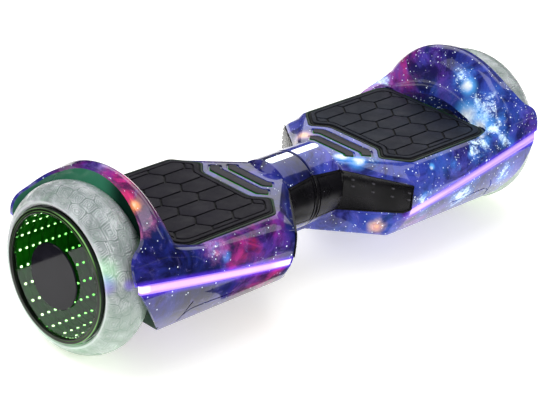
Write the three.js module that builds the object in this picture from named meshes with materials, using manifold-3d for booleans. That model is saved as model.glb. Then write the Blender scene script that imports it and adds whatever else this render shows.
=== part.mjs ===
// Two-wheeled self balancing board: two hinged halves, each with a hub-motor wheel under its own fender.
// Frame: X along the board, -Y the front, +Z up, origin on the ground midway between the wheels. Millimetres.
import * as THREE from 'three';
import Module from 'manifold-3d';
import { mergeVertices } from 'three/addons/utils/BufferGeometryUtils.js';

const wasm = await Module();
wasm.setup();

// Driving dimensions
const AXLE_Z = 82.5; // wheel axles and the centre pivot share one line at the tyre radius
const GAP = 0.3; // clearance between neighbouring pieces
const SEAM = 0.4; // each half stops this far from the middle plane
const FAR = 400; // reach of a cutting solid that only has to clear the part

const SKIN = 3; // shell wall
const DECK_Z = 114; // top of the shells
const DECK_FLOOR_Z = 105; // underside of the thick deck
const BELLY_Z = 34; // underside of the body
const PARTING_Z = 61; // where the two shells part at the waist; further out they part along the light strips
const HALF_WIDTH = 90.5; // half width of the upright sides
const SHOULDER_Z = 98; // the sides lean in above this
const WAIST_R = 39.7; // round waist at the pivot
const WAIST_END = 36; // the round waist ends here
const WAIST_FADE = 12; // and has sunk into the body after this length
const WAIST_DROP = 14;
const ROUNDING = 24; // higher is sharper: exponent of the rounded section

const WELL_U = 246; // the wheel well begins here
const WELL_GAP_R = 87; // wheel well radius beside and below the axle
const FENDER_R = 94; // fender outside radius over the wheel
const FENDER_SIDE_R = 90.5; // fender outside radius where it meets the body side
const FENDER_SKIN = 3.5;
const FENDER_U = 219; // the deck turns up into the fender here
const FENDER_TOP_U = 250; // and is fully round from here
const FENDER_FALL = 0.22; // over the wheel the fender falls this much per millimetre towards its lip
const HULL_END_U = 290;

const BODY_U = 83; // the body reaches its full width here
const STRIP_IN = { u: 86, z: 65.1 }; // centre of the light strip, inner end
const STRIP_OUT = { u: 281, z: 98.6 }; // and outer end
const STRIP_H = 9;
const STRIP_Y = 85.5; // back of the light strip
const STRIP_PROUD = 1;

const TYRE_R = 82.5;
const TYRE_IN_U = 253;
const TYRE_OUT_U = 302.5;
const RIM_R = 65.4;
const BEAD_R = RIM_R + 0.4; // bore of the tyre
const FACE_U = 305.4; // outboard face of the wheel light
const AXLE_R = 9;
const TUBE_R = 17; // pivot tube
const TUBE_BORE_R = 14;
const BUSHING_R = 20.3;
const ROUND = 20; // facets round a turned piece
const TYRE_ROUND = 32;

const COLOURS = {
  shell: [0x2c2f8f, 0.22, 0.0],
  pad: [0x34323c, 0.75, 0.0],
  black: [0x17171a, 0.45, 0.0],
  light: [0xd9b8ff, 0.3, 0.0],
  indicator: [0xf4f7ff, 0.25, 0.0],
  aluminium: [0xb4b7bb, 0.4, 1.0],
  steel: [0x8d9095, 0.35, 1.0],
  tyre: [0xc3d2c8, 0.35, 0.0],
  glass: [0x1d2420, 0.08, 0.0],
  mirror: [0xcfd6d2, 0.05, 1.0],
  copper: [0xa8623a, 0.4, 0.9],
  board: [0x1f5b36, 0.5, 0.0],
  battery: [0x2a5fa8, 0.5, 0.0],
  nylon: [0xe3e0d6, 0.5, 0.0],
};

const board = new THREE.Group();

// ---- solids -------------------------------------------------------------

// A closed geometry as a manifold solid.
function solid(geometry) {
  const bare = new THREE.BufferGeometry();
  bare.setAttribute('position', geometry.getAttribute('position').clone());
  if (geometry.index) bare.setIndex(geometry.index.clone());
  const merged = mergeVertices(bare, 1e-4);
  const mesh = new wasm.Mesh({
    numProp: 3,
    vertProperties: new Float32Array(merged.getAttribute('position').array),
    triVerts: new Uint32Array(merged.index.array),
  });
  return new wasm.Manifold(mesh);
}

function geometryOf(shape) {
  const mesh = shape.getMesh();
  const geometry = new THREE.BufferGeometry();
  geometry.setAttribute('position', new THREE.BufferAttribute(mesh.vertProperties, 3));
  geometry.setIndex(new THREE.BufferAttribute(mesh.triVerts, 1));
  return geometry;
}

// Adds one named piece. A left piece is the mirror image of the right one in the middle plane.
function piece(name, shape, colour, side = 1) {
  const geometry = geometryOf(shape);
  if (side < 0) {
    geometry.scale(-1, 1, 1);
    const index = geometry.index;
    for (let i = 0; i < index.count; i += 3) {
      const first = index.getX(i);
      index.setX(i, index.getX(i + 1));
      index.setX(i + 1, first);
    }
  }
  const [color, roughness, metalness] = COLOURS[colour];
  const mesh = new THREE.Mesh(geometry, new THREE.MeshStandardMaterial({ color, roughness, metalness }));
  mesh.name = name;
  board.add(mesh);
}

function block(u0, u1, y0, y1, z0, z1) {
  const geometry = new THREE.BoxGeometry(u1 - u0, y1 - y0, z1 - z0);
  geometry.translate((u0 + u1) / 2, (y0 + y1) / 2, (z0 + z1) / 2);
  return solid(geometry);
}

// A round bar along X on the axle line.
function bar(u0, u1, radius, segments = ROUND) {
  const geometry = new THREE.CylinderGeometry(radius, radius, u1 - u0, segments);
  geometry.rotateZ(-Math.PI / 2);
  geometry.translate((u0 + u1) / 2, 0, AXLE_Z);
  return solid(geometry);
}

function ring(u0, u1, inner, outer, segments = ROUND) {
  return bar(u0, u1, outer, segments).subtract(bar(u0 - 1, u1 + 1, inner, segments));
}

// A profile of [distance along X, radius] points turned about the axle line, with a facet facing down.
function turned(profile, segments) {
  const points = profile.map(([u, r]) => new THREE.Vector2(r / Math.cos(Math.PI / segments), u));
  points.push(points[0].clone());
  const geometry = new THREE.LatheGeometry(points, segments, Math.PI / segments);
  geometry.rotateZ(-Math.PI / 2);
  geometry.translate(0, 0, AXLE_Z);
  return solid(geometry);
}

// An outline of [u, y] points, raised from z0 to z1, with rounded corners.
function plate(outline, z0, z1, radius = 0) {
  const geometry = new THREE.ExtrudeGeometry(rounded(outline, radius), {
    depth: z1 - z0,
    bevelEnabled: false,
    curveSegments: 3,
  });
  geometry.translate(0, 0, z0);
  return solid(geometry);
}

// An outline of [u, z] points, carried across from y0 to y1.
function curtain(outline, y0, y1) {
  const geometry = new THREE.ExtrudeGeometry(rounded(outline, 0), { depth: y1 - y0, bevelEnabled: false });
  geometry.rotateX(Math.PI / 2);
  geometry.translate(0, y1, 0);
  return solid(geometry);
}

function rounded(outline, radius) {
  const shape = new THREE.Shape();
  const count = outline.length;
  for (let i = 0; i < count; i += 1) {
    const corner = new THREE.Vector2(...outline[i]);
    if (radius === 0) {
      if (i === 0) shape.moveTo(corner.x, corner.y);
      else shape.lineTo(corner.x, corner.y);
      continue;
    }
    const reach = outline[i][2] ?? radius;
    const before = new THREE.Vector2(...outline[(i + count - 1) % count]).sub(corner).setLength(reach);
    const after = new THREE.Vector2(...outline[(i + 1) % count]).sub(corner).setLength(reach);
    const start = before.add(corner);
    const end = after.add(corner);
    if (i === 0) shape.moveTo(start.x, start.y);
    else shape.lineTo(start.x, start.y);
    shape.quadraticCurveTo(corner.x, corner.y, end.x, end.y);
  }
  shape.closePath();
  return shape;
}

// ---- body section ---------------------------------------------------------

const lerp = THREE.MathUtils.lerp;
const clamp = THREE.MathUtils.clamp;
const smooth = THREE.MathUtils.smoothstep;
const degrees = THREE.MathUtils.degToRad;

function stripZ(u) {
  const slope = (STRIP_OUT.z - STRIP_IN.z) / (STRIP_OUT.u - STRIP_IN.u);
  return STRIP_IN.z + (u - STRIP_IN.u) * slope;
}

// Measures of one section, each growing along u from the waist to the full body.
const GROWTH = {
  side: { slope: 1.13, start: -4, least: 12, most: HALF_WIDTH }, // half width of the upright side
  deck: { slope: 0.83, start: -5, least: 8, most: 77 }, // half width of the flat top
  belly: { slope: 1.13, start: -14, least: 8, most: 71 }, // half width of the flat underside
  sill: { slope: 0.12, start: 54, least: 54, most: 64 }, // height where the side turns under
};
const SHOULDER_OUT = 1.5; // the leaning planes meet just outside the upright side
const SILL_OUT = 1;
const LEVEL = degrees(8); // below this direction the wheel has no fender
const FENDER_FULL = degrees(38); // above this one the fender has its full radius
const FLARE_U = 190; // low on the side the fender starts to swell here
const FLARE_LOW = degrees(18);
const FLARE_HIGH = degrees(30);
const FALL_LOW = degrees(35);
const FALL_HIGH = degrees(60);
const SWELL = 2.4; // higher is a steeper start of the fender
const CREST = 1.6; // higher is a rounder crest

function measure(name, u) {
  const { slope, start, least, most } = GROWTH[name];
  return clamp(slope * u + start, least, most);
}

// Outside radius of the fender in a direction seen along the axle, 0 degrees level and 90 degrees up.
function fenderRadius(u, angle) {
  const fall = FENDER_FALL * Math.max(u - WELL_U, 0) * smooth(angle, FALL_LOW, FALL_HIGH);
  return lerp(FENDER_SIDE_R, FENDER_R, smooth(angle, LEVEL, FENDER_FULL)) - fall;
}

// Radius of the body section from the axle line, at distance u and angle, with a wall taken off.
function hullRadius(u, angle, wall = 0, deckWall = wall) {
  const across = Math.abs(Math.cos(angle));
  const up = Math.sin(angle);
  const side = measure('side', u);
  const shoulder = side + SHOULDER_OUT;
  const planes = [
    [0, 1, DECK_Z - AXLE_Z - deckWall],
    [0, -1, AXLE_Z - BELLY_Z - wall],
    [1, 0, side - wall],
    lean(measure('deck', u), DECK_Z - AXLE_Z, shoulder, SHOULDER_Z - AXLE_Z, wall),
    lean(side + SILL_OUT, measure('sill', u) - AXLE_Z, measure('belly', u), BELLY_Z - AXLE_Z, wall),
  ];
  let sum = 0;
  for (const [ny, nz, distance] of planes) {
    const share = (ny * across + nz * up) / Math.max(distance, 1);
    if (share > 0) sum += share ** ROUNDING;
  }
  let radius = sum ** (-1 / ROUNDING);
  const elevation = Math.atan2(up, across);
  if (elevation > LEVEL) {
    const start = lerp(FLARE_U, FENDER_U, smooth(elevation, FLARE_LOW, FLARE_HIGH));
    const step = clamp((u - start) / (FENDER_TOP_U - start), 0, 1);
    const rise = (1 - (1 - step) ** SWELL) ** (1 / CREST);
    radius = Math.max(radius, lerp(radius, fenderRadius(u, elevation) - wall, rise));
  }
  const waist = WAIST_R - wall - clamp((u - WAIST_END) / WAIST_FADE, 0, 1) * WAIST_DROP;
  return Math.max(radius, waist);
}

// The straight side through two points of a section, as a unit normal and its distance.
function lean(y0, z0, y1, z1, wall) {
  const length = Math.hypot(y1 - y0, z1 - z0);
  const ny = -(z1 - z0) / length;
  const nz = (y1 - y0) / length;
  return [ny, nz, ny * y0 + nz * z0 - wall];
}

const QUADRANT = [-90, -55, -38, -31, -22, -10, 0, 9, 16, 21, 27, 45, 60, 75, 90];
const ANGLES = [...QUADRANT, ...QUADRANT.slice(1, -1).reverse().map((a) => 180 - a)].map(degrees);
const STATIONS = [SEAM, WAIST_END, 43, 60, BODY_U, 97, FLARE_U, FENDER_U, 222, 229, 238];
const WHEEL_STATIONS = [WELL_U, FENDER_TOP_U, 262, HULL_END_U];
const AXLE_OPENING_R = 24;

// A skin through sections at the stations, closed by a flat cap at each end.
function loft(stations, radiusAt) {
  const positions = [];
  const index = [];
  const count = ANGLES.length;
  for (const u of stations) {
    for (const angle of ANGLES) {
      const radius = radiusAt(u, angle);
      positions.push(u, Math.cos(angle) * radius, AXLE_Z + Math.sin(angle) * radius);
    }
  }
  for (let s = 0; s < stations.length - 1; s += 1) {
    for (let a = 0; a < count; a += 1) {
      const b = (a + 1) % count;
      const p = s * count;
      const q = p + count;
      index.push(p + a, q + a, q + b, p + a, q + b, p + b);
    }
  }
  const first = positions.length / 3;
  positions.push(stations[0], 0, AXLE_Z, stations[stations.length - 1], 0, AXLE_Z);
  const last = (stations.length - 1) * count;
  for (let a = 0; a < count; a += 1) {
    const b = (a + 1) % count;
    index.push(first, a, b, first + 1, last + b, last + a);
  }
  const geometry = new THREE.BufferGeometry();
  geometry.setAttribute('position', new THREE.Float32BufferAttribute(positions, 3));
  geometry.setIndex(index.reverse());
  return solid(geometry);
}

// Outboard edge of the shells, seen from the front: straight over the wheel, bulging at the strip's end.
const EDGE = [
  [254, FAR],
  [254, 174],
  [260, 150],
  [269, 136],
  [283, 128],
  [286, 118],
  [284.5, 103],
  [277, 89],
  [266, 71],
  [256, 55],
  [250, 47],
  [245, 39],
  [237, 35],
  [228, 33],
  [228, -FAR],
];

const hull = loft([...STATIONS, ...WHEEL_STATIONS], (u, angle) => hullRadius(u, angle))
  .subtract(curtain([...EDGE, [FAR, -FAR], [FAR, FAR]], -FAR, FAR));
const CAVITY_STATIONS = [SEAM - 2, ...STATIONS.slice(1), WELL_U - SKIN];
const cavity = loft(CAVITY_STATIONS, (u, angle) => {
  return hullRadius(Math.max(u, SEAM), angle, SKIN, DECK_Z - DECK_FLOOR_Z);
});
const well = loft([WELL_U, HULL_END_U + 10], (u, angle) => {
  const elevation = Math.atan2(Math.sin(angle), Math.abs(Math.cos(angle)));
  if (elevation < LEVEL) return WELL_GAP_R;
  return fenderRadius(u, elevation) - FENDER_SKIN;
});
const axleOpening = bar(WELL_U - 10, WELL_U + 4, AXLE_OPENING_R);
const shell = hull.subtract(cavity).subtract(well).subtract(axleOpening);

// ---- openings in the shells -------------------------------------------------

const PANEL_Y = 14; // the side panels keep this far from the middle
const PANEL_END_U = 85;

// Side panel at the waist, seen from the front.
function panelOutline(inset) {
  const start = SEAM - 1 + inset * 2;
  return [
    [start, PARTING_Z + inset],
    [PANEL_END_U - 6 - inset, 65.5 + inset],
    [PANEL_END_U - inset, 71 + inset],
    [PANEL_END_U - inset, 97 - inset],
    [37, 106 - inset],
    [start, 109 - inset],
  ];
}

function panelRegion(front, inset) {
  const [y0, y1] = front ? [-FAR, -PANEL_Y] : [PANEL_Y, FAR];
  return curtain(panelOutline(inset), y0, y1);
}

// The light strip's band, which ends at a given distance from the middle.
function stripRegion(front, grow, end) {
  const half = STRIP_H / 2 + grow;
  const start = STRIP_IN.u - grow;
  const outline = [
    [start, stripZ(start) - half],
    [end, stripZ(end) - half],
    [end, stripZ(end) + half],
    [start, stripZ(start) + half],
  ];
  const inner = STRIP_Y - grow;
  const [y0, y1] = front ? [-FAR, -inner] : [inner, FAR];
  return curtain(outline, y0, y1);
}

// A third number at a corner is its own rounding.
const PAD_OUTLINE = [
  [218, 72, 16],
  [98, 72],
  [79, 49],
  [93, 34],
  [93, -34],
  [79, -49],
  [98, -72],
  [218, -72, 16],
];
const PAD = { top: 115.9, bottom: 109.8, floor: 107.9, radius: 5, gap: 0.4 };
const BAR_OUTER = [
  [73.5, 40.5],
  [81.5, 32.5],
  [81.5, -32.5],
  [73.5, -40.5],
  [66.5, -33.5],
  [71, -29],
  [71, 29],
  [66.5, 33.5],
];
const BAR_INNER = [
  [58, 30.5],
  [64.5, 24],
  [64.5, -24],
  [58, -30.5],
  [52, -24.5],
  [55, -21.5],
  [55, 21.5],
  [52, 24.5],
];
const ACCENT = { floor: 111, bottom: 111.3, top: 114.6 };
const LENS = { u0: 2.6, u1: 35, halfWidth: 4.6, depth: 2.6, radius: 1.2 };

const LENS_TOP = AXLE_Z + WAIST_R;

// An outline grown outwards, for a pocket that clears its piece.
function grown(outline, amount) {
  const count = outline.length;
  const turn = Math.sign(THREE.ShapeUtils.area(outline.map((p) => new THREE.Vector2(...p))));
  const normal = (a, b) => {
    const length = Math.hypot(b[0] - a[0], b[1] - a[1]);
    return [(turn * (b[1] - a[1])) / length, (-turn * (b[0] - a[0])) / length];
  };
  return outline.map((point, i) => {
    const [ay, az] = normal(outline[(i + count - 1) % count], point);
    const [by, bz] = normal(point, outline[(i + 1) % count]);
    const spread = amount / (1 + ay * by + az * bz);
    return [point[0] + (ay + by) * spread, point[1] + (az + bz) * spread, ...point.slice(2)];
  });
}

function lensOutline(grow) {
  const half = LENS.halfWidth + grow;
  return [
    [LENS.u0 - grow, -half],
    [LENS.u1 + grow, -half],
    [LENS.u1 + grow, half],
    [LENS.u0 - grow, half],
  ];
}

// Charging socket, its plug and the power button sit in a row on the rear of the left half.
const REAR_HOLE_Y = 60; // the holes for them start inside the hollow
const SOCKET = { u: 221, z: 73.5, r: 8.2, bore: 6.2, back: 66, face: 90.2 };
const BUTTON = { u: 194, z: 71, r: 6.2, back: 80, face: 91.2 };

// A round bar along Y.
function crossBar(u, z, radius, y0, y1, segments = 20) {
  const geometry = new THREE.CylinderGeometry(radius, radius, y1 - y0, segments);
  geometry.translate(u, (y0 + y1) / 2, z);
  return solid(geometry);
}

function shellPair(withSocket) {
  let body = shell;
  for (const front of [true, false]) {
    body = body.subtract(panelRegion(front, 0)).subtract(stripRegion(front, GAP, HULL_END_U));
  }
  body = body
    .subtract(plate(grown(PAD_OUTLINE, PAD.gap), PAD.floor, FAR, PAD.radius))
    .subtract(plate(grown(BAR_OUTER, GAP), ACCENT.floor, FAR))
    .subtract(plate(grown(BAR_INNER, GAP), ACCENT.floor, FAR))
    .subtract(plate(lensOutline(GAP), LENS_TOP - LENS.depth - GAP, FAR, LENS.radius + GAP));
  if (withSocket) {
    body = body
      .subtract(crossBar(SOCKET.u, SOCKET.z, SOCKET.r + GAP, REAR_HOLE_Y, FAR))
      .subtract(crossBar(BUTTON.u, BUTTON.z, BUTTON.r + GAP, REAR_HOLE_Y, FAR));
  }
  const split = (low) => {
    const edge = low ? -GAP / 2 : GAP / 2;
    const far = low ? -FAR : FAR;
    const seam = [
      [-10, PARTING_Z + edge],
      [70, PARTING_Z + edge],
      [STRIP_IN.u, STRIP_IN.z + edge],
      [FAR, stripZ(FAR) + edge],
    ];
    return curtain([...seam, [FAR, far], [-10, far]], -FAR, FAR);
  };
  return { upper: largest(body.intersect(split(false))), lower: largest(body.intersect(split(true))) };
}

// The main body of a shape, without the crumbs that a cut leaves where it grazes the wall.
function largest(shape) {
  return shape.decompose().reduce((best, part) => (part.volume() > best.volume() ? part : best));
}

// ---- inside the body ---------------------------------------------------------

const BOSS = { start: 20, end: 46, r: 24 }; // pivot boss
const AXLE_IN_U = 198; // inner end of the axle
const TRAY = { bottom: 62, top: 66, wallTop: 78, end: 236 };
const TRAY_OUTLINE = [
  [48, -26],
  [76, -60],
  [TRAY.end, -60],
  [TRAY.end, 60],
  [76, 60],
  [48, 26],
];
const TRAY_HOLLOW = [
  [54, -24],
  [78, -56],
  [TRAY.end + 5, -56],
  [TRAY.end + 5, 56],
  [78, 56],
  [54, 24],
];
const SADDLE = { halfWidth: 20, lip: 12, lipTop: AXLE_Z + 6, top: AXLE_Z + 14 };

// Cast tray that carries the pivot boss at the waist and the axle saddle at the wheel.
function frameCasting(bore) {
  const { halfWidth } = SADDLE;
  const web = block(44, 72, -BOSS.r - 3, BOSS.r + 3, TRAY.bottom - 2, AXLE_Z - 2);
  const saddle = block(AXLE_IN_U, TRAY.end, -halfWidth, halfWidth, TRAY.top - 1, AXLE_Z - GAP / 2);
  return plate(TRAY_OUTLINE, TRAY.bottom, TRAY.wallTop)
    .subtract(plate(TRAY_HOLLOW, TRAY.top, FAR))
    .add(bar(BOSS.start, BOSS.end, BOSS.r))
    .add(web)
    .add(saddle)
    .subtract(bar(0, 80, bore))
    .subtract(bar(AXLE_IN_U - 5, TRAY.end + 5, AXLE_R + GAP));
}

// Clamp over the axle, stepped down on both sides for its screws.
function axleClamp() {
  const { halfWidth, lip, lipTop, top } = SADDLE;
  const [from, to] = [AXLE_IN_U + 2, TRAY.end - 2];
  return block(from, to, -halfWidth, halfWidth, AXLE_Z + GAP / 2, top)
    .subtract(block(from - 1, to + 1, -halfWidth - 1, -lip, lipTop, FAR))
    .subtract(block(from - 1, to + 1, lip, halfWidth + 1, lipTop, FAR))
    .subtract(bar(from - 1, to + 1, AXLE_R + GAP));
}

// Blocks of a circuit board as [u0, u1, y0, y1, z0, z1].
const GYRO_BLOCKS = [
  [118, 166, -22, 22, 68, 69.6], // board
  [128, 140, -6, 6, 69, 71.4], // motion sensor
  [150, 158, -14, 14, 69, 75], // plug
  [121, 125, -3, 3, TRAY.top + GAP, 69], // foot
];
const CONTROL_BLOCKS = [
  [100, 216, -38, 38, 52, 53.6], // board
  [118, 196, -26, 26, 42, 52.5], // heat sink under it
  [202, 212, -30, 30, 53, 59], // motor plugs
  [104, 114, -20, 20, 53, 59], // signal plugs
];
const FINS = { first: 124, last: 196, pitch: 12, slot: 6, top: 48 };

function joined(blocks) {
  return blocks.map((box) => block(...box)).reduce((whole, part) => whole.add(part));
}

function controlBoard() {
  let made = joined(CONTROL_BLOCKS);
  for (let u = FINS.first; u < FINS.last; u += FINS.pitch) {
    made = made.subtract(block(u, u + FINS.slot, -30, 30, 40, FINS.top));
  }
  return made;
}

const BATTERY_OUTLINE = [
  [92, -45],
  [226, -45],
  [226, 45],
  [92, 45],
];
const BATTERY = { bottom: 38, radius: 9 };

// ---- wheel ---------------------------------------------------------------------

function tyre() {
  const profile = [
    [TYRE_IN_U + 1.5, BEAD_R],
    [TYRE_IN_U, 70.5],
    [TYRE_IN_U + 4, 75.5],
    [TYRE_IN_U + 11, 80],
    [TYRE_IN_U + 19, TYRE_R],
    [TYRE_OUT_U - 22, TYRE_R],
    [TYRE_OUT_U - 13, 79.8],
    [TYRE_OUT_U - 5, 75],
    [TYRE_OUT_U, 70.5],
    [TYRE_OUT_U - 1, BEAD_R],
  ];
  return turned(profile, TYRE_ROUND);
}

// Plain round pieces of the wheel: from and to along X, outside and bore radius.
const WHEEL_PIECES = {
  motor_cover: { from: 253.4, to: 256.7, outer: 64, inner: 17, colour: 'aluminium' },
  rotor_ring: { from: 261, to: 284, outer: 53.1, inner: 47, colour: 'steel' },
  wheel_bearing: { from: 253.6, to: 260.6, outer: 16.7, inner: AXLE_R + GAP, colour: 'steel' },
  reflector_disc: { from: 290.3, to: 292.3, outer: 61.2, colour: 'mirror' },
  led_ring: { from: 292.6, to: 299, outer: 61.2, inner: 59.4, colour: 'light' },
  mirror_glass: { from: 300.1, to: 302.9, outer: 59.1, colour: 'glass' },
  bezel_ring: { from: 299.3, to: FACE_U, outer: 64.3, inner: 59.4, colour: 'black' },
  hub_cap: { from: 303.2, to: FACE_U, outer: 32, colour: 'black' },
};
const HOUSING = { from: 257, to: 299, inner: 53.4, plateFrom: 285, plateTo: 288.5, seatR: 61.8, holeR: 12 };
const STATOR = { from: 262, to: 283, r: 46, slots: 12, slotWidth: 5, slotDepth: 12, slotAt: 43 };
const COLLAR = { from: 247.5, to: 252.5, r: 13 }; // shoulder of the axle at the wheel

function motorHousing() {
  return ring(HOUSING.from, HOUSING.to, HOUSING.inner, RIM_R)
    .add(bar(HOUSING.plateFrom, HOUSING.plateTo, HOUSING.inner + 6))
    .subtract(bar(HOUSING.plateTo, HOUSING.to + 1, HOUSING.seatR))
    .subtract(bar(HOUSING.plateFrom - 1, HOUSING.plateTo + 1, HOUSING.holeR));
}

function stator() {
  let made = bar(STATOR.from, STATOR.to, STATOR.r);
  for (let i = 0; i < STATOR.slots; i += 1) {
    const slot = new THREE.BoxGeometry(STATOR.to - STATOR.from + 2, STATOR.slotWidth, STATOR.slotDepth);
    slot.translate((STATOR.from + STATOR.to) / 2, 0, STATOR.slotAt);
    slot.rotateX((i / STATOR.slots) * Math.PI * 2);
    slot.translate(0, 0, AXLE_Z);
    made = made.subtract(solid(slot));
  }
  return made.subtract(bar(STATOR.from - 1, STATOR.to + 1, AXLE_R + GAP));
}

function axle() {
  return bar(AXLE_IN_U, STATOR.to + 1, AXLE_R, 16).add(bar(COLLAR.from, COLLAR.to, COLLAR.r, 16));
}

// ---- build ---------------------------------------------------------------------

const proud = loft([...STATIONS, ...WHEEL_STATIONS], (u, angle) => hullRadius(u, angle) + STRIP_PROUD);
const walls = hull.subtract(cavity);

for (const [side, name] of [[-1, 'left'], [1, 'right']]) {
  const left = side < 0;
  const { upper, lower } = shellPair(left);
  piece(`upper_shell_${name}`, upper, 'shell', side);
  piece(`lower_shell_${name}`, lower, 'shell', side);
  for (const [front, where] of [[true, 'front'], [false, 'rear']]) {
    piece(`${where}_panel_${name}`, walls.intersect(panelRegion(front, GAP)), 'black', side);
    const strip = stripRegion(front, 0, STRIP_OUT.u).intersect(proud).subtract(well);
    piece(`${where}_light_strip_${name}`, strip, 'light', side);
  }
  piece(`foot_pad_${name}`, plate(PAD_OUTLINE, PAD.bottom, PAD.top, PAD.radius), 'pad', side);
  piece(`accent_bar_outer_${name}`, plate(BAR_OUTER, ACCENT.bottom, ACCENT.top), 'black', side);
  piece(`accent_bar_inner_${name}`, plate(BAR_INNER, ACCENT.bottom, ACCENT.top), 'black', side);
  const lens = plate(lensOutline(0), LENS_TOP - LENS.depth, LENS_TOP + 1, LENS.radius);
  piece(`indicator_lens_${name}`, lens.intersect(bar(0, LENS.u1 + 1, WAIST_R, 48)), 'indicator', side);

  piece(`frame_casting_${name}`, frameCasting(left ? TUBE_R + GAP : BUSHING_R + GAP), 'aluminium', side);
  piece(`axle_clamp_${name}`, axleClamp(), 'steel', side);
  piece(`gyro_board_${name}`, joined(GYRO_BLOCKS), 'board', side);

  piece(`axle_${name}`, axle(), 'steel', side);
  piece(`stator_${name}`, stator(), 'copper', side);
  piece(`tyre_${name}`, tyre(), 'tyre', side);
  piece(`motor_housing_${name}`, motorHousing(), 'aluminium', side);
  for (const [part, { from, to, inner, outer, colour }] of Object.entries(WHEEL_PIECES)) {
    piece(`${part}_${name}`, inner ? ring(from, to, inner, outer) : bar(from, to, outer), colour, side);
  }
}

const TUBE_HALF = 74;
const HARNESS = { half: 82, r: 6, segments: 12 };
const RETAINER = { from: BOSS.end + 0.6, to: BOSS.end + 2.6, outer: 20 };
piece('pivot_tube', ring(-TUBE_HALF, TUBE_HALF, TUBE_BORE_R, TUBE_R), 'steel');
piece('pivot_bushing', ring(BOSS.start, BOSS.end, TUBE_R + GAP, BUSHING_R), 'nylon');
piece('retaining_ring', ring(RETAINER.from, RETAINER.to, TUBE_R + GAP, RETAINER.outer), 'steel');
piece('wire_harness', bar(-HARNESS.half, HARNESS.half, HARNESS.r, HARNESS.segments), 'black');
piece('battery_pack', plate(BATTERY_OUTLINE, BATTERY.bottom, TRAY.bottom - GAP, BATTERY.radius), 'battery', -1);
piece('control_board', controlBoard(), 'board');

const SPEAKER = { u: 80, z: 42.5, height: 9, mouth: 20, back: 12 };
const cone = new THREE.CylinderGeometry(SPEAKER.mouth, SPEAKER.back, SPEAKER.height, 24);
cone.rotateX(Math.PI / 2);
cone.translate(SPEAKER.u, 0, SPEAKER.z);
piece('speaker', solid(cone), 'black');

const socket = crossBar(SOCKET.u, SOCKET.z, SOCKET.r, SOCKET.back, SOCKET.face)
  .subtract(crossBar(SOCKET.u, SOCKET.z, SOCKET.bore, SOCKET.back + 3, FAR));
const cap = crossBar(SOCKET.u, SOCKET.z, SOCKET.bore - GAP, SOCKET.face - 2, SOCKET.face);
piece('charge_port', socket, 'black', -1);
piece('charge_cap', cap, 'black', -1);
piece('power_button', crossBar(BUTTON.u, BUTTON.z, BUTTON.r, BUTTON.back, BUTTON.face), 'steel', -1);

export default board;
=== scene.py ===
import math

import bmesh
import bpy
import numpy as np
from mathutils import Matrix, Vector


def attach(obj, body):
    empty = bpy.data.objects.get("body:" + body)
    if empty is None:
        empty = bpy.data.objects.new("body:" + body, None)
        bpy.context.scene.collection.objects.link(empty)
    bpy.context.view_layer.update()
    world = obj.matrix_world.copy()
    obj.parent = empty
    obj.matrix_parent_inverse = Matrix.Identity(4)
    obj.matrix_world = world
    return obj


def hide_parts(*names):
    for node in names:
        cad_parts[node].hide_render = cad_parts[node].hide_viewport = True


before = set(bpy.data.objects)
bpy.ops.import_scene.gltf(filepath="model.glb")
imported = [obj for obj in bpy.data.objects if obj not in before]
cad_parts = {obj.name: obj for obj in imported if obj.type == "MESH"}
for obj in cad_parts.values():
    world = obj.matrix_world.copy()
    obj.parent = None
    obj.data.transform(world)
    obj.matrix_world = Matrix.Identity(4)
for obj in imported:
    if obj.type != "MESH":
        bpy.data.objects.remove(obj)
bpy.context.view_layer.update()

# Lengths are millimetres along the board (u), across it (y) and up (z); meshes are made in metres.
# These dimensions of the body, the light strips and the wheel are the CAD model's.
MM = 0.001
AXLE_Z = 82.5
GAP = 0.3
SEAM = 0.4
FAR = 400.0
SKIN = 3.0
DECK_Z = 114.0
DECK_FLOOR_Z = 105.0
BELLY_Z = 34.0
PARTING_Z = 61.0
HALF_WIDTH = 90.5
SHOULDER_Z = 98.0
WAIST_R = 39.7
WAIST_END = 36.0
ROUNDING = 24
WELL_U = 246.0
FENDER_SKIN = 3.5
FENDER_R = 94.0
FENDER_FOOT = math.radians(8)
WELL_SIDE_R = 87.0
FENDER_TOP_U = 250.0
FENDER_FALL = 0.22
HULL_END_U = 290.0
STRIP_IN = (86.0, 65.1)
STRIP_OUT = (281.0, 98.6)
STRIP_H = 9.0
STRIP_BACK = 85.5
STRIP_BACK_R = 88.0
FACE_U = 305.4
SIDES = (("left", -1), ("right", 1))
SQUARE = ((-1, -1), (1, -1), (1, 1), (-1, 1))


# ---- meshes ---------------------------------------------------------------------

def link(name, data):
    obj = bpy.data.objects.new(name, data)
    bpy.context.scene.collection.objects.link(obj)
    return obj


def new_object(name, verts, faces, side=1):
    """A mesh object from points in millimetres; side -1 mirrors it in the middle plane."""
    points = np.asarray(verts, float).reshape(-1, 3) * MM
    points[:, 0] *= side
    mesh = bpy.data.meshes.new(name)
    mesh.from_pydata(points.tolist(), [], faces)
    mesh.validate()
    bm = bmesh.new()
    bm.from_mesh(mesh)
    bmesh.ops.recalc_face_normals(bm, faces=bm.faces)
    bm.to_mesh(mesh)
    bm.free()
    return link(name, mesh)


def boolean(obj, cutter, operation="DIFFERENCE", keep=False):
    """Cuts obj, or keeps or adds what operation says; the cutter goes away unless keep is set."""
    modifier = obj.modifiers.new("cut", "BOOLEAN")
    modifier.operation = operation
    modifier.solver = "MANIFOLD"
    modifier.object = cutter
    bpy.context.view_layer.update()
    graph = bpy.context.evaluated_depsgraph_get()
    mesh = bpy.data.meshes.new_from_object(obj.evaluated_get(graph))
    obj.modifiers.clear()
    old = obj.data
    obj.data = mesh
    bpy.data.meshes.remove(old)
    if not keep:
        discard(cutter)
    return obj


def discard(*objects):
    for obj in objects:
        bpy.data.objects.remove(obj)


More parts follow.
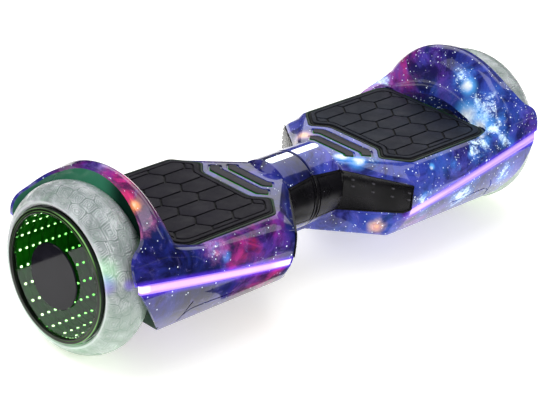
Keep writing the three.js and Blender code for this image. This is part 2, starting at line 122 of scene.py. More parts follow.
def mirror(obj):
    obj.data.transform(Matrix.Scale(-1, 4, (1, 0, 0)))
    obj.data.flip_normals()
    return obj


def duplicate(obj, name):
    mesh = obj.data.copy()
    mesh.name = name
    return link(name, mesh)


def quads(rings, count, wrap=False):
    """Faces between neighbouring rings of points; wrap also joins the last ring to the first."""
    faces = []
    for ring in range(rings if wrap else rings - 1):
        near, far = ring * count, (ring + 1) % rings * count
        for i in range(count):
            j = (i + 1) % count
            faces.append((near + i, far + i, far + j, near + j))
    return faces


def capped(rings, count):
    """Faces of a solid through rings of points, closed by the first and the last ring."""
    return quads(rings, count) + [tuple(range(count)), tuple(range((rings - 1) * count, rings * count))]


def add_solid(verts, faces, rings):
    """Adds a solid through rings of points to the lists of a mesh."""
    first = len(verts)
    faces += [tuple(first + i for i in face) for face in capped(len(rings), len(rings[0]))]
    for ring in rings:
        verts += ring


def prism(name, layers, axis="z", side=1):
    """A closed solid through layers of (place along the axis, outline) with as many points each."""
    order = {"x": (2, 0, 1), "y": (0, 2, 1), "z": (0, 1, 2)}[axis]
    verts = [[(a, b, place)[k] for k in order] for place, outline in layers for a, b in outline]
    return new_object(name, verts, capped(len(layers), len(layers[0][1])), side)


def side_cut(outline, start=-FAR, end=FAR):
    """A cutter with an outline seen from the front, from start to end along Y."""
    return prism("cutter", [(start, outline), (end, outline)], "y")


def stack(name, outline, corner, layers):
    """An upright solid through layers of (height, how far the outline is grown), corners rounded."""
    return prism(name, [(z, rounded(grown(outline, more), corner)) for z, more in layers])


def circle(u, v, radius, count=48):
    angles = np.arange(count) / count * math.tau
    return [(u + math.cos(a) * radius, v + math.sin(a) * radius) for a in angles]


def disc(name, u0, u1, radius, segments=96, side=1, edge=0.4):
    """A round plate on the axle line, with softened rims."""
    rims = ((u0, radius - edge), (u0 + edge, radius), (u1 - edge, radius), (u1, radius - edge))
    return prism(name, [(u, circle(0, AXLE_Z, reach, segments)) for u, reach in rims], "x", side)


def turned(name, profile, segments=96, side=1, pattern=None):
    """A closed profile of (u, radius) turned about the axle line; pattern presses a relief into it."""
    u, radius = np.array(profile, float).T
    angles = np.arange(segments) / segments * math.tau - math.pi / 2
    verts = np.stack([np.stack([u, np.cos(a) * radius, AXLE_Z + np.sin(a) * radius], 1) for a in angles])
    faces = quads(segments, len(profile), wrap=True)
    if pattern is None:
        return new_object(name, verts, faces, side)
    verts, relief = pattern(verts, angles)
    obj = new_object(name, verts, faces, side)
    layer = obj.data.attributes.new("relief", "FLOAT", "POINT")
    layer.data.foreach_set("value", relief.ravel().astype(np.float32))
    return obj


def smooth(obj, angle=32):
    obj.data.shade_smooth()
    obj.data.set_sharp_from_angle(angle=math.radians(angle))
    return obj


def place(obj, body, slot, material, *nodes):
    """Gives a piece its material and its body and hides the CAD nodes that it replaces; slot is not used."""
    obj.data.materials.clear()
    for m in material if isinstance(material, (list, tuple)) else [material]:
        obj.data.materials.append(m)
    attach(obj, body)
    if nodes:
        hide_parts(*nodes)
    return obj


# ---- the shape of the body -----------------------------------------------------------

def smoothstep(x, low, high):
    t = np.clip((x - low) / (high - low), 0, 1)
    return t * t * (3 - 2 * t)


def strip_z(u):
    """Height of the light strip's middle line."""
    return STRIP_IN[1] + (u - STRIP_IN[0]) * (STRIP_OUT[1] - STRIP_IN[1]) / (STRIP_OUT[0] - STRIP_IN[0])


def lean(y0, z0, y1, z1, wall):
    """A sloping side of the section through two points: its direction and distance from the axle line."""
    length = math.hypot(y1 - y0, z1 - z0)
    ny, nz = -(z1 - z0) / length, (y1 - y0) / length
    return ny, nz, ny * y0 + nz * z0 - wall


def fender_radius(u, elevation):
    """Outer radius of the fender: full over the top, in line with the sides at its foot."""
    fall = FENDER_FALL * max(u - WELL_U, 0) * smoothstep(elevation, math.radians(35), math.radians(60))
    rise = smoothstep(elevation, FENDER_FOOT, math.radians(38))
    return HALF_WIDTH + (FENDER_R - HALF_WIDTH) * rise - fall


def hull_radius(u, angle, wall=0.0, deck_wall=None):
    """Radius of the body's section from the axle line at distance u, for an array of angles."""
    deck_wall = wall if deck_wall is None else deck_wall
    across, up = np.abs(np.cos(angle)), np.sin(angle)
    # Half widths of the sides, deck and belly, and the height of the sill: narrow at the waist, then full.
    side = min(max(1.13 * u - 4, 12), HALF_WIDTH)
    deck = min(max(0.83 * u - 5, 8), 77)
    belly = min(max(1.13 * u - 14, 8), 71)
    sill = min(max(0.12 * u + 54, 54), 64)
    planes = [
        (0, 1, DECK_Z - AXLE_Z - deck_wall),
        (0, -1, AXLE_Z - BELLY_Z - wall),
        (1, 0, side - wall),
        lean(deck, DECK_Z - AXLE_Z, side + 1.5, SHOULDER_Z - AXLE_Z, wall),
        lean(side + 1, sill - AXLE_Z, belly, BELLY_Z - AXLE_Z, wall),
    ]
    total = np.zeros_like(angle)
    for ny, nz, distance in planes:
        total += np.maximum(0, (ny * across + nz * up) / max(distance, 1)) ** ROUNDING
    radius = total ** (-1 / ROUNDING)
    elevation = np.arctan2(up, across)
    start = 190 + 29 * smoothstep(elevation, math.radians(18), math.radians(30))
    step = np.clip((u - start) / (FENDER_TOP_U - start), 0, 1)
    rise = (1 - (1 - step) ** 2.4) ** (1 / 1.6)
    swollen = radius + (fender_radius(u, elevation) - wall - radius) * rise
    radius = np.where(elevation > FENDER_FOOT, np.maximum(radius, swollen), radius)
    waist = WAIST_R - wall - min(max((u - WAIST_END) / 12, 0), 1) * 14
    return np.maximum(radius, waist)


def well_radius(u, angle):
    """Radius of the wheel well: the fender's less its skin, and even below the fender's foot."""
    elevation = np.arctan2(np.sin(angle), np.abs(np.cos(angle)))
    return np.where(elevation < FENDER_FOOT, WELL_SIDE_R, fender_radius(u, elevation) - FENDER_SKIN)


def loft(name, stations, radius_at, count=256):
    """A closed skin through sections at the stations, with points gathered where a section bends."""
    dense = np.linspace(-math.pi / 2, 1.5 * math.pi, 1441)
    verts = []
    for u in stations:
        radius = radius_at(u, dense)
        y, z = np.cos(dense) * radius, np.sin(dense) * radius
        dy, dz = np.diff(y), np.diff(z)
        heading = np.unwrap(np.arctan2(dz, dy))
        turn = np.abs(np.diff(heading, append=heading[0] + math.tau))
        weight = np.cumsum(np.concatenate([[0], np.hypot(dy, dz) / 2.6 + turn / math.radians(6)]))
        picked = np.interp(np.arange(count) / count * weight[-1], weight, dense)
        radius = radius_at(u, picked)
        ring = np.stack([np.full(count, u), np.cos(picked) * radius, AXLE_Z + np.sin(picked) * radius], 1)
        verts.append(ring)
    return new_object(name, np.concatenate(verts), capped(len(stations), count))


def spread(*ranges):
    """Stations along the board from (start, end, step) ranges."""
    parts = [np.arange(a, b, step) for a, b, step in ranges]
    return np.unique(np.round(np.concatenate(parts + [[ranges[-1][1]]]), 3))


def softened(points, times=2):
    """Rounds the inner corners of an open line and keeps its ends."""
    for _ in range(times):
        made = [points[0]]
        for a, b in zip(points[:-1], points[1:]):
            made.append((a[0] * 0.75 + b[0] * 0.25, a[1] * 0.75 + b[1] * 0.25))
            made.append((a[0] * 0.25 + b[0] * 0.75, a[1] * 0.25 + b[1] * 0.75))
        made.append(points[-1])
        points = made
    return points


def rounded(outline, radius, steps=6):
    """A closed outline with its corners rounded; a third number at a corner is its own radius."""
    made = []
    count = len(outline)
    for i in range(count):
        corner = np.array(outline[i][:2], float)
        reach = outline[i][2] if len(outline[i]) > 2 else radius
        before = np.array(outline[i - 1][:2], float) - corner
        after = np.array(outline[(i + 1) % count][:2], float) - corner
        start = corner + before / np.linalg.norm(before) * reach
        end = corner + after / np.linalg.norm(after) * reach
        for k in range(steps + 1):
            t = k / steps
            made.append(tuple((1 - t) ** 2 * start + 2 * t * (1 - t) * corner + t * t * end))
    return made


def grown(outline, amount):
    """An outline moved outwards by an amount, or inwards if it is negative."""
    points = np.array([p[:2] for p in outline], float)
    nxt = np.roll(points, -1, 0)
    area = np.sum(points[:, 0] * nxt[:, 1] - nxt[:, 0] * points[:, 1]) / 2
    edge = nxt - points
    normal = np.stack([edge[:, 1], -edge[:, 0]], 1) / np.linalg.norm(edge, axis=1)[:, None] * np.sign(area)
    before = np.roll(normal, 1, 0)
    spreads = amount / (1 + np.sum(before * normal, 1))
    moved = points + (before + normal) * spreads[:, None]
    return [tuple(m) + tuple(p[2:]) for m, p in zip(moved, outline)]


# Outlines of the right half. EDGE, the shells' outer edge, and PANEL are (u, z) seen from the front; the rest
# are (u, y) seen from above. A third number at a corner is its own radius.
EDGE = [
    (254, FAR), (254, 182), (254.6, 171), (257, 160), (261, 148), (265.5, 139.5), (272, 133.5), (282, 128.5),
    (286.5, 119), (285, 104), (278, 90.5), (267, 72), (256, 55), (250, 47), (244.5, 39), (237, 35), (228, 33),
    (228, -FAR),
]
PAD = [(218, 72, 16), (98, 72), (79, 49), (93, 34), (93, -34), (79, -49), (98, -72), (218, -72, 16)]
BAR_OUTER = [(73.5, 40.5), (81.5, 32.5), (81.5, -32.5), (73.5, -40.5),
             (66.5, -33.5), (71, -29), (71, 29), (66.5, 33.5)]
BAR_INNER = [(58, 30.5), (64.5, 24), (64.5, -24), (58, -30.5),
             (52, -24.5), (55, -21.5), (55, 21.5), (52, 24.5)]
BAR_R = 2.6
PAD_R = 5
# Deck pockets: outline, height of the floor, corner radius, width of the ledge round the top.
POCKETS = ((PAD, 107.9, PAD_R, 2.3), (BAR_OUTER, 111, BAR_R, 1.3), (BAR_INNER, 111, BAR_R, 1.3))
LEDGE_DEPTH = 1.3
LENS_TOP = AXLE_Z + WAIST_R
LENS = [(2.6, -4.6, 1.2), (35, -4.6, 4), (35, 4.6, 4), (2.6, 4.6, 1.2)]
PANEL = [(-0.6, 61), (79, 65.5), (85, 71), (85, 97), (37, 106), (-0.6, 109)]
PANEL_BACK = 14
PANEL_CUT = 0.9
DIMPLES = [(43, 99), (43, 92), (56, 97), (56, 88), (69, 94), (69, 85), (80, 90.5), (80, 83)]
# Moulded lines low on the side: line seen from the front, width.
GROOVES = [
    ([(221.5, 42), (220, 47), (219, 53), (217.5, 60), (213.5, 66)], 1.5),
    ([(219, 50.5), (215, 54.6), (210, 56.2), (200, 56), (185, 55.6), (170, 54.2), (157, 55)], 1.5),
]
SCREWS = [(u, y * side) for u, y in ((70, 22), (104, 58), (160, 60), (222, 58)) for side in (1, -1)]
# Charging socket and power button on the rear of the left half: middle, and radius of the hole.
SOCKET, SOCKET_HOLE = (-221, 73.5), 8.5
BUTTON, BUTTON_HOLE = (-194, 71), 6.5


def panel_outline(inset):
    """The panels' outline moved inwards by inset, and by twice as much at the middle seam."""
    start = PANEL[0][0] + inset * 2
    points = grown(PANEL, -inset)
    return [(start if p[0] < 10 else p[0], p[1]) for p in points]


def band(low_offset, high_offset, u0, u1):
    """A stretch along the light strip, between two offsets from its middle line."""
    return [(u0, strip_z(u0) + low_offset), (u1, strip_z(u1) + low_offset),
            (u1, strip_z(u1) + high_offset), (u0, strip_z(u0) + high_offset)]


def side_y(u, z):
    """How far out the side of the body is at a point seen from the front."""
    first_guess, rounds = 88.0, 8
    y = np.full_like(z, first_guess)
    for _ in range(rounds):
        angle = np.arctan2(z - AXLE_Z, y)
        y = np.cos(angle) * hull_radius(u, angle)
    return y


HULL_STATIONS = spread((SEAM, 2, 0.4), (2, 36, 6), (36, 100, 1.6), (100, 186, 7), (186, 262, 1.6),
                       (262, HULL_END_U, 4))


def outside(u, angle):
    """The body's section with the edges at the middle seam rounded off."""
    return hull_radius(u, angle) - 1.1 * max(0.0, 1 - (u - SEAM) / 1.4) ** 2


def panel_radius(u, angle):
    """The outer face of the side panels: flush at the waist and a little proud towards their outer ends."""
    proud = outside(u, angle) + 1.8 * smoothstep(u, 36, 60)
    return np.minimum(proud, (HALF_WIDTH + 0.6) / np.maximum(np.abs(np.cos(angle)), 0.01))


def groove(line, width, depth_hull):
    """A channel that follows a line seen from the front, as deep as the body is less depth_hull."""
    points = np.array(softened(line, 3), float)
    direction = np.gradient(points, axis=0)
    direction /= np.linalg.norm(direction, axis=1)[:, None]
    normal = np.stack([-direction[:, 1], direction[:, 0]], 1) * width / 2
    outline = [tuple(p) for p in points + normal] + [tuple(p) for p in (points - normal)[::-1]]
    return boolean(side_cut(outline), depth_hull, keep=True)


def make_shells():
    """The shells of the right half, the walls that the panels are cut from, and the depth of their cuts."""
    hull = loft("hull", HULL_STATIONS, outside)
    inner_stations = HULL_STATIONS[(HULL_STATIONS > 1) & (HULL_STATIONS < WELL_U - 4)][::2]
    cavity = loft("cavity", np.concatenate([[-2.0], inner_stations, [WELL_U - SKIN]]),
                  lambda u, a: hull_radius(max(u, SEAM), a, SKIN, DECK_Z - DECK_FLOOR_Z), 160)
    well = loft("well", [WELL_U, HULL_END_U + 10], well_radius, 360)
    body = boolean(hull, side_cut(softened(EDGE, 2) + [(FAR, -FAR), (FAR, FAR)]))
    boolean(body, cavity, keep=True)
    walls = loft("walls", HULL_STATIONS, panel_radius)
    boolean(walls, cavity)
    boolean(body, well)
    boolean(body, disc("opening", WELL_U - 10, WELL_U + 4, 24))
    for sign in (-1, 1):
        boolean(body, side_cut(panel_outline(0), sign * PANEL_BACK, sign * FAR))
        outline = band(-STRIP_H / 2 - GAP, STRIP_H / 2 + GAP, STRIP_IN[0] - GAP, HULL_END_U)
        boolean(body, side_cut(outline, sign * (STRIP_BACK - GAP), sign * FAR))
    for outline, floor_z, corner, ledge in POCKETS:
        step = DECK_Z - LEDGE_DEPTH
        layers = [(floor_z, 0.4), (step, 0.4), (step + 0.01, 0.4 + ledge), (DECK_Z - 0.4, 0.45 + ledge),
                  (DECK_Z + 0.4, 1.1 + ledge), (FAR, 1.1 + ledge)]
        boolean(body, stack("pocket", outline, corner, layers))
    boolean(body, stack("lens", LENS, 1.2, [(LENS_TOP - 2.9, GAP), (FAR, GAP)]))
    inner = loft("inner", HULL_STATIONS[::2], lambda u, a: hull_radius(u, a, PANEL_CUT), 200)
    for line, width in GROOVES:
        boolean(body, groove(line, width, inner))
    discard(inner)
    panel_floor = loft("panel_floor", HULL_STATIONS[::2], lambda u, a: panel_radius(u, a) - PANEL_CUT, 200)
    for u, y in SCREWS:
        ring = circle(u, y, 4.2, 24)
        boolean(body, prism("screw_hole", [(0, ring), (BELLY_Z + 1.8, ring)]))
    shells = {}
    for half, edge, far in (("lower", -GAP / 2, -FAR), ("upper", GAP / 2, FAR)):
        line = [(-10, PARTING_Z + edge), (70, PARTING_Z + edge), (STRIP_IN[0], STRIP_IN[1] + edge),
                (FAR, strip_z(FAR) + edge), (FAR, far), (-10, far)]
        shells[half] = boolean(duplicate(body, half), side_cut(line), "INTERSECT")
    discard(body)
    return shells, walls, panel_floor


def ribs(slope, floor):
    """Slanted cuts seen from the front, as deep as the body is less the floor solid."""
    verts, faces = [], []
    for k in range(-14, 34):
        start = 52 + k * 5.2 - 46 * slope
        line = ((-2, start), (90, start + 92 * slope), (90, start + 92 * slope + 1.1), (-2, start + 1.1))
        add_solid(verts, faces, [[(u, y, z) for u, z in line] for y in (-FAR, FAR)])
    return boolean(new_object("ribs", verts, faces), floor, keep=True)


def panel_piece(name, walls, sign, floor):
    """A side panel: the rear ones are knurled, the front ones have a ledge along the top and small pips."""
    part = duplicate(walls, name)
    boolean(part, side_cut(panel_outline(GAP), sign * PANEL_BACK, sign * FAR), "INTERSECT")
    if sign > 0:
        for slope in (0.62, -0.62):
            boolean(part, ribs(slope, floor))
        return part
    line = boolean(side_cut(panel_outline(1.9), -FAR, 0), side_cut(panel_outline(2.9), -FAR - 1, 1))
    boolean(part, boolean(line, floor, keep=True))
    for u, z in DIMPLES:
        slot = rounded([(u + a * 0.8, z + b * 2.2) for a, b in SQUARE], 0.7, 4)
        boolean(part, boolean(side_cut(slot, -FAR, 0), floor, keep=True))
    return part


def strip_piece(name, sign, side):
    """A light guide with a domed face and rounded ends, along the side of the body."""
    stations = np.linspace(STRIP_IN[0], STRIP_OUT[0], 90)
    across = np.linspace(-1, 1, 17)
    verts = []
    ends = np.minimum(1, np.minimum(stations - stations[0], stations[-1] - stations) / 2.5)
    for u, end in zip(stations, ends):
        shape = math.sqrt(max(0.0, 1 - (1 - end) ** 2))
        z = strip_z(u) + across * STRIP_H / 2
        proud = 0.85 * shape * (1 - np.abs(across) ** 4) - 0.5 * (1 - shape)
        y = side_y(u, z) + proud
        well = STRIP_BACK_R if u > WELL_U else 0
        back = np.sqrt(np.maximum(max(STRIP_BACK, well) ** 2 - (z - AXLE_Z) ** 2 * (well > 0), 0))
        back = np.minimum(np.maximum(back, STRIP_BACK * (well == 0)), y - 0.8)
        verts += [(u, sign * out, up) for out, up in zip(y, z)]
        verts += [(u, sign * out, up) for out, up in zip(back[::-1], z[::-1])]
    return new_object(name, verts, capped(len(stations), 2 * len(across)), side)


# ---- foot pads -------------------------------------------------------------------

def pad_piece(name):
    """A foot pad: a plate with a raised rim and hexagon tiles that the rim cuts off."""
    top, tile_floor, bottom = 115.9, 114.5, 109.8
    shoulder, rim_in = top - 0.35, -6.4
    base = stack(name, PAD, PAD_R, [(bottom, 0.0), (tile_floor - 1.4, 0.0), (tile_floor, -0.4),
                                    (tile_floor + 0.02, -0.45)])
    rim = stack("rim", PAD, PAD_R, [(tile_floor - 1, -2.3), (shoulder, -2.5), (top, -2.9)])
    boolean(rim, stack("hollow", PAD, PAD_R, [(tile_floor - 0.01, rim_in), (shoulder, rim_in),
                                              (top + 0.05, rim_in + 0.45), (top + 1, rim_in + 0.45)]))
    half_top, tip, half_row = 13.75, 23.0, 11.8
    shrink = 0.95
    levels = [(tile_floor - 1, shrink), (top - 0.4, shrink), (top - 0.1, shrink + 0.18), (top, shrink + 0.5)]
    verts, faces = [], []
    for column in range(-3, 8):
        for row in range(-5, 6):
            u = 152 + (column - 2) * (half_top + tip)
            y = row * 2 * half_row + (half_row if column % 2 else 0)
            if abs(y) > 90 or not 60 < u < 245:
                continue
            tile = [(u + half_top, y + half_row), (u - half_top, y + half_row), (u - tip, y),
                    (u - half_top, y - half_row), (u + half_top, y - half_row), (u + tip, y)]
            add_solid(verts, faces, [[(a, b, z) for a, b in grown(tile, -less)] for z, less in levels])
    tiles = new_object("tiles", verts, faces)
    inside = rim_in - 1.3
    boolean(tiles, stack("inside", PAD, 4, [(tile_floor - 2, inside), (shoulder, inside),
                                            (top + 0.05, inside - 0.45)]), "INTERSECT")
    boolean(base, rim, "UNION")
    return boolean(base, tiles, "UNION")


def gasket_piece(name):
    """Rubber frame in the deck round the pad."""
    base = DECK_Z - 1.2
    layers = [(base, 2.6), (DECK_Z - 0.1, 2.6), (DECK_Z + 0.25, 2.3), (DECK_Z + 0.4, 1.8)]
    hole = stack("hole", PAD, PAD_R, [(base - 1, 0.5), (DECK_Z + 1, 0.5)])
    return boolean(stack(name, PAD, PAD_R, layers), hole)


def bar_piece(name, outline):
    """Accent bar: a lit tray in the pocket with a dark bar standing in it."""
    layers = [(111.3, 0.2), (112.7, 0.2), (112.75, -0.1), (114.1, -0.2), (114.45, -0.4), (114.6, -0.9)]
    return prism(name, [(z, rounded(grown(outline, more), BAR_R - 0.2 + min(more, 0))) for z, more in layers])


def lens_piece(name):
    lens = stack(name, LENS, 1, [(LENS_TOP - 2.6, 0), (LENS_TOP + 1.0, 0)])
    return boolean(lens, disc("crown", 0, 50, WAIST_R + 0.15, 360), "INTERSECT")


# ---- wheel ---------------------------------------------------------------------

def tyre_profile():
    """Section of the tyre as (u, radius): smooth crown, shoulders and bead lips."""
    key = [(254.6, 66.0), (253.2, 68.2), (253.3, 71.5), (256.0, 75.6), (262, 79.4), (270, 82.1), (276, 82.5),
           (282, 82.4), (289, 80.4), (296, 76.6), (300.4, 72.6), (302.2, 69.9), (302.0, 67.6), (300.8, 66.9),
           (300.3, 66.0)]
    return softened(key, 3)


def tread(verts, angles):
    """Blocks over the crown and shoulders of the tyre: a groove round each, and finer lines nested in it."""
    u = verts[..., 0]
    radius = np.hypot(verts[..., 1], verts[..., 2] - AXLE_Z)
    rows, columns = 5, 30
    along = angles[:, None] / math.tau * columns + np.zeros_like(u)
    across = (u - 252) / 52 * rows
    along += 0.12 * np.sin(across * 2.1 + along) + 0.10 * np.sin(along * 1.7 + across * 3)
    nearest = np.full(u.shape, 9.0)
    second = np.full(u.shape, 9.0)
    for row in range(-1, rows + 1):
        for step in (-1, 0, 1, 2):
            cell = np.floor(along) + step - 0.5 * (row % 2)
            turn = np.mod(cell, columns)
            shift_a = 0.55 * np.sin(turn * 12.9898 + row * 4.1)
            shift_b = 0.42 * np.sin(turn * 7.233 + row * 9.7 + 1.0)
            gap_a = along - (cell + 0.5 + 0.5 * shift_a)
            gap_b = across - (row + 0.5 + 0.5 * shift_b)
            away = np.maximum(np.abs(gap_a) + 0.35 * np.abs(gap_b), np.abs(gap_b) + 0.2 * np.abs(gap_a))
            second = np.where(away < nearest, nearest, np.minimum(second, away))
            nearest = np.minimum(nearest, away)
    inside = second - nearest
    groove_line = 1 - smoothstep(inside, 0.04, 0.15)
    fine_line = np.zeros_like(inside)
    for level in (0.28, 0.5, 0.74):
        fine_line = np.maximum(fine_line, 1 - smoothstep(np.abs(inside - level), 0.03, 0.10))
    where = smoothstep(radius, 70.5, 73.5)
    depth = np.maximum(0.42 * groove_line, 0.30 * fine_line) * where
    scale = (radius - depth) / radius
    out = verts.copy()
    out[..., 1] *= scale
    out[..., 2] = AXLE_Z + (verts[..., 2] - AXLE_Z) * scale
    out[..., 0] -= depth * smoothstep(u, 292, 300) * 0.8
    return out, np.clip(depth / 0.42, 0, 1)


LED_COUNT = 22
LED_R = 59.0
LED_U = 296.2


def led_piece(name, side):
    """The row of light beads that faces the axle, inside the mirror chamber."""
    bm = bmesh.new()
    for k in range(LED_COUNT):
        angle = k / LED_COUNT * math.tau
        middle = Vector((LED_U, math.cos(angle) * LED_R, AXLE_Z + math.sin(angle) * LED_R)) * MM
        matrix = Matrix.Translation(middle) @ Matrix.Rotation(angle, 4, "X")
        matrix = matrix @ Matrix.Diagonal((0.95, 0.6, 0.85, 1))
        bmesh.ops.create_icosphere(bm, subdivisions=2, radius=1.95 * MM, matrix=matrix)
    mesh = bpy.data.meshes.new(name)
    bm.to_mesh(mesh)
    bm.free()
    beads = link(name, mesh)
    return mirror(beads) if side < 0 else beads


# ---- screws ----------------------------------------------------------------------

def hexagon(u, v, radius, count=48):
    """A hexagon with as many points as a circle, so the two can be layers of one solid."""
    made = []
    for a in np.arange(count) / count * math.tau:
        reach = radius * math.cos(math.pi / 6) / math.cos((a % (math.pi / 3)) - math.pi / 6)
        made.append((u + math.cos(a) * reach, v + math.sin(a) * reach))
    return made


def screw_piece(name, side):
    """The socket-head screws that hold the lower shell."""
    verts, faces = [], []
    for u, y in SCREWS:
        layers = [(1.8, circle(u, y, 3.7)), (0.7, circle(u, y, 3.7)), (0.35, circle(u, y, 3.3)),
                  (0.35, hexagon(u, y, 1.9)), (1.5, hexagon(u, y, 1.8))]
        add_solid(verts, faces, [[(a, b, BELLY_Z + z) for a, b in outline] for z, outline in layers])
    return new_object(name, verts, faces, side)


# ---- materials -------------------------------------------------------------------


class Paint:
    """One procedural material; the methods add nodes and return their outputs."""

    def __init__(self, name, **values):
        self.material = bpy.data.materials.new(name)
        self.material.use_nodes = True
        self.tree = self.material.node_tree
        self.tree.nodes.clear()
        self.output = self.add("OutputMaterial")
        self.shader = self.add("BsdfPrincipled")
        self.tree.links.new(self.shader.outputs[0], self.output.inputs[0])
        self.coords = self.add("TexCoord").outputs
        self.here = self.coords["Object"]
        self.set(**values)

    def add(self, kind, **settings):
        node = self.tree.nodes.new("ShaderNode" + kind)
        for key, value in settings.items():
            setattr(node, key, value)
        return node

    def put(self, value, socket):
        if isinstance(value, bpy.types.NodeSocket):
            self.tree.links.new(value, socket)
        elif socket.type == "RGBA" and len(value) == 3:
            socket.default_value = (*value, 1)
        else:
            socket.default_value = value

    def set(self, **values):
        for key, value in values.items():
            self.put(value, self.shader.inputs[key.replace("_", " ")])
        return self

    def math(self, operation, a, b=0.0, c=None, clamp=False):
        node = self.add("Math", operation=operation, use_clamp=clamp)
        for value, socket in zip((a, b) if c is None else (a, b, c), node.inputs):
            self.put(value, socket)
        return node.outputs[0]

    def vector(self, operation, a, b=(0, 0, 0), output=0):
        node = self.add("VectorMath", operation=operation)
        self.put(a, node.inputs[0])
        self.put(b, node.inputs[3] if operation == "SCALE" else node.inputs[1])
        return node.outputs[output]

    def mix(self, share, a, b, blend="MIX"):
        node = self.add("Mix", data_type="RGBA", blend_type=blend, clamp_factor=True)
        for value, index in ((share, 0), (a, 6), (b, 7)):
            self.put(value, node.inputs[index])
        return node.outputs[2]

    def noise(self, scale, detail=4.0, rough=0.55, twist=0.0, colour=False):
        node = self.add("TexNoise")
        for value, key in zip((self.here, scale, detail, rough, twist),
                              ("Vector", "Scale", "Detail", "Roughness", "Distortion")):
            self.put(value, node.inputs[key])
        return node.outputs["Color" if colour else "Fac"]

    def cells(self, scale, output="Distance"):
        node = self.add("TexVoronoi")
        self.put(self.here, node.inputs["Vector"])
        self.put(scale, node.inputs["Scale"])
        return node.outputs[output]

    def span(self, value, low, high, to_low=0.0, to_high=1.0, smooth=False):
        node = self.add("MapRange", interpolation_type="SMOOTHSTEP" if smooth else "LINEAR")
        for index, item in enumerate((value, low, high, to_low, to_high)):
            self.put(item, node.inputs[index])
        return node.outputs[0]

    def span_mm(self, value, low, high, *rest, **more):
        return self.span(value, low * MM, high * MM, *rest, **more)

    def ramp(self, value, stops):
        node = self.add("ValToRGB")
        elements = node.color_ramp.elements
        while len(elements) < len(stops):
            elements.new(0.5)
        for element, (position, colour) in zip(elements, stops):
            element.position = position
            element.color = (*colour, 1)
        self.put(value, node.inputs[0])
        return node.outputs[0]

    def tone(self, scale, detail, dark, light):
        """A noise between two colours."""
        return self.ramp(self.noise(scale, detail), [(0.3, dark), (0.7, light)])

    def vary(self, scale, detail, low, high):
        """A noise between two values."""
        return self.span(self.noise(scale, detail), 0.3, 0.7, low, high)

    def bump(self, height, distance, strength=1.0):
        node = self.add("Bump")
        for value, key in ((height, "Height"), (distance, "Distance"), (strength, "Strength")):
            self.put(value, node.inputs[key])
        self.set(Normal=node.outputs[0])

    def split(self, what=None):
        node = self.add("SeparateXYZ")
        self.put(self.here if what is None else what, node.inputs[0])
        return node.outputs

    def all_of(self, *values):
        total = values[0]
        for value in values[1:]:
            total = self.math("MULTIPLY", total, value)
        return total

    def highest(self, a, b):
        return self.math("MAXIMUM", a, b)

    def minus(self, a, b):
        return self.math("SUBTRACT", a, b)

    def absolute(self, a):
        return self.math("ABSOLUTE", a)

    def surface(self, share, first, second):
        """The surface is a mix of two shaders in place of the principled one."""
        choose = self.add("MixShader")
        for index, output in enumerate((share, first, second)):
            self.put(output, choose.inputs[index])
        self.tree.links.new(choose.outputs[0], self.output.inputs[0])
        return self.material

    def simple_shader(self, kind, colour):
        node = self.add(kind)
        self.put(colour, node.inputs[0])
        return node


def stars(p, scale, size, keep):
    """A scatter of round dots: 1 at a dot's middle. keep is the share of cells that get one."""
    distance = p.cells(scale)
    chance = p.add("SeparateColor")
    p.put(p.cells(scale, "Color"), chance.inputs[0])
    lit = p.math("LESS_THAN", chance.outputs[0], keep)
    radius = p.span(chance.outputs[1], 0, 1, size * 0.4, size)
    body = p.math("SUBTRACT", 1.0, p.math("DIVIDE", distance, radius), clamp=True)
    body = p.math("MINIMUM", p.all_of(body, 2.2), 1.0)
    return p.all_of(body, lit)


def from_axle(p):
    """Distance of the surface from the axle line."""
    flat = p.vector("MULTIPLY", p.here, (0, 1, 1))
    return p.vector("LENGTH", p.vector("SUBTRACT", flat, (0, 0, AXLE_Z * MM)), output="Value")


def away_from_axle(p, xyz, normal):
    """How much a surface faces away from the axle line, times its distance from it."""
    return p.math("ADD", p.all_of(normal[1], xyz[1]), p.all_of(normal[2], p.minus(xyz[2], AXLE_Z * MM)))


def over_strip(p, xyz, along):
    """Height over the middle line of the light strip."""
    slope = (STRIP_OUT[1] - STRIP_IN[1]) / (STRIP_OUT[0] - STRIP_IN[0])
    line = p.math("MULTIPLY_ADD", p.minus(along, STRIP_IN[0] * MM), slope, STRIP_IN[1] * MM)
    return p.minus(xyz[2], line)


def spot(p, centre, radius, warp):
    """A soft cloud round a point given in millimetres."""
    away = p.vector("DISTANCE", warp, tuple(c * MM for c in centre), "Value")
    return p.span_mm(away, radius, radius * 0.2, smooth=True)


VIOLET, LILAC, CYAN, WHITE = (0.12, 0.02, 0.34), (0.36, 0.26, 0.62), (0.10, 0.45, 1.0), (0.90, 0.95, 1.0)
MAGENTA, PINK, ROSE = (0.42, 0.008, 0.20), (0.80, 0.22, 0.48), (0.50, 0.02, 0.10)
HOT, ORANGE, PEACH, AZURE = (0.95, 0.02, 0.22), (1.0, 0.30, 0.06), (1.0, 0.62, 0.40), (0.06, 0.35, 1.0)
NONE = (0, 0, 0)

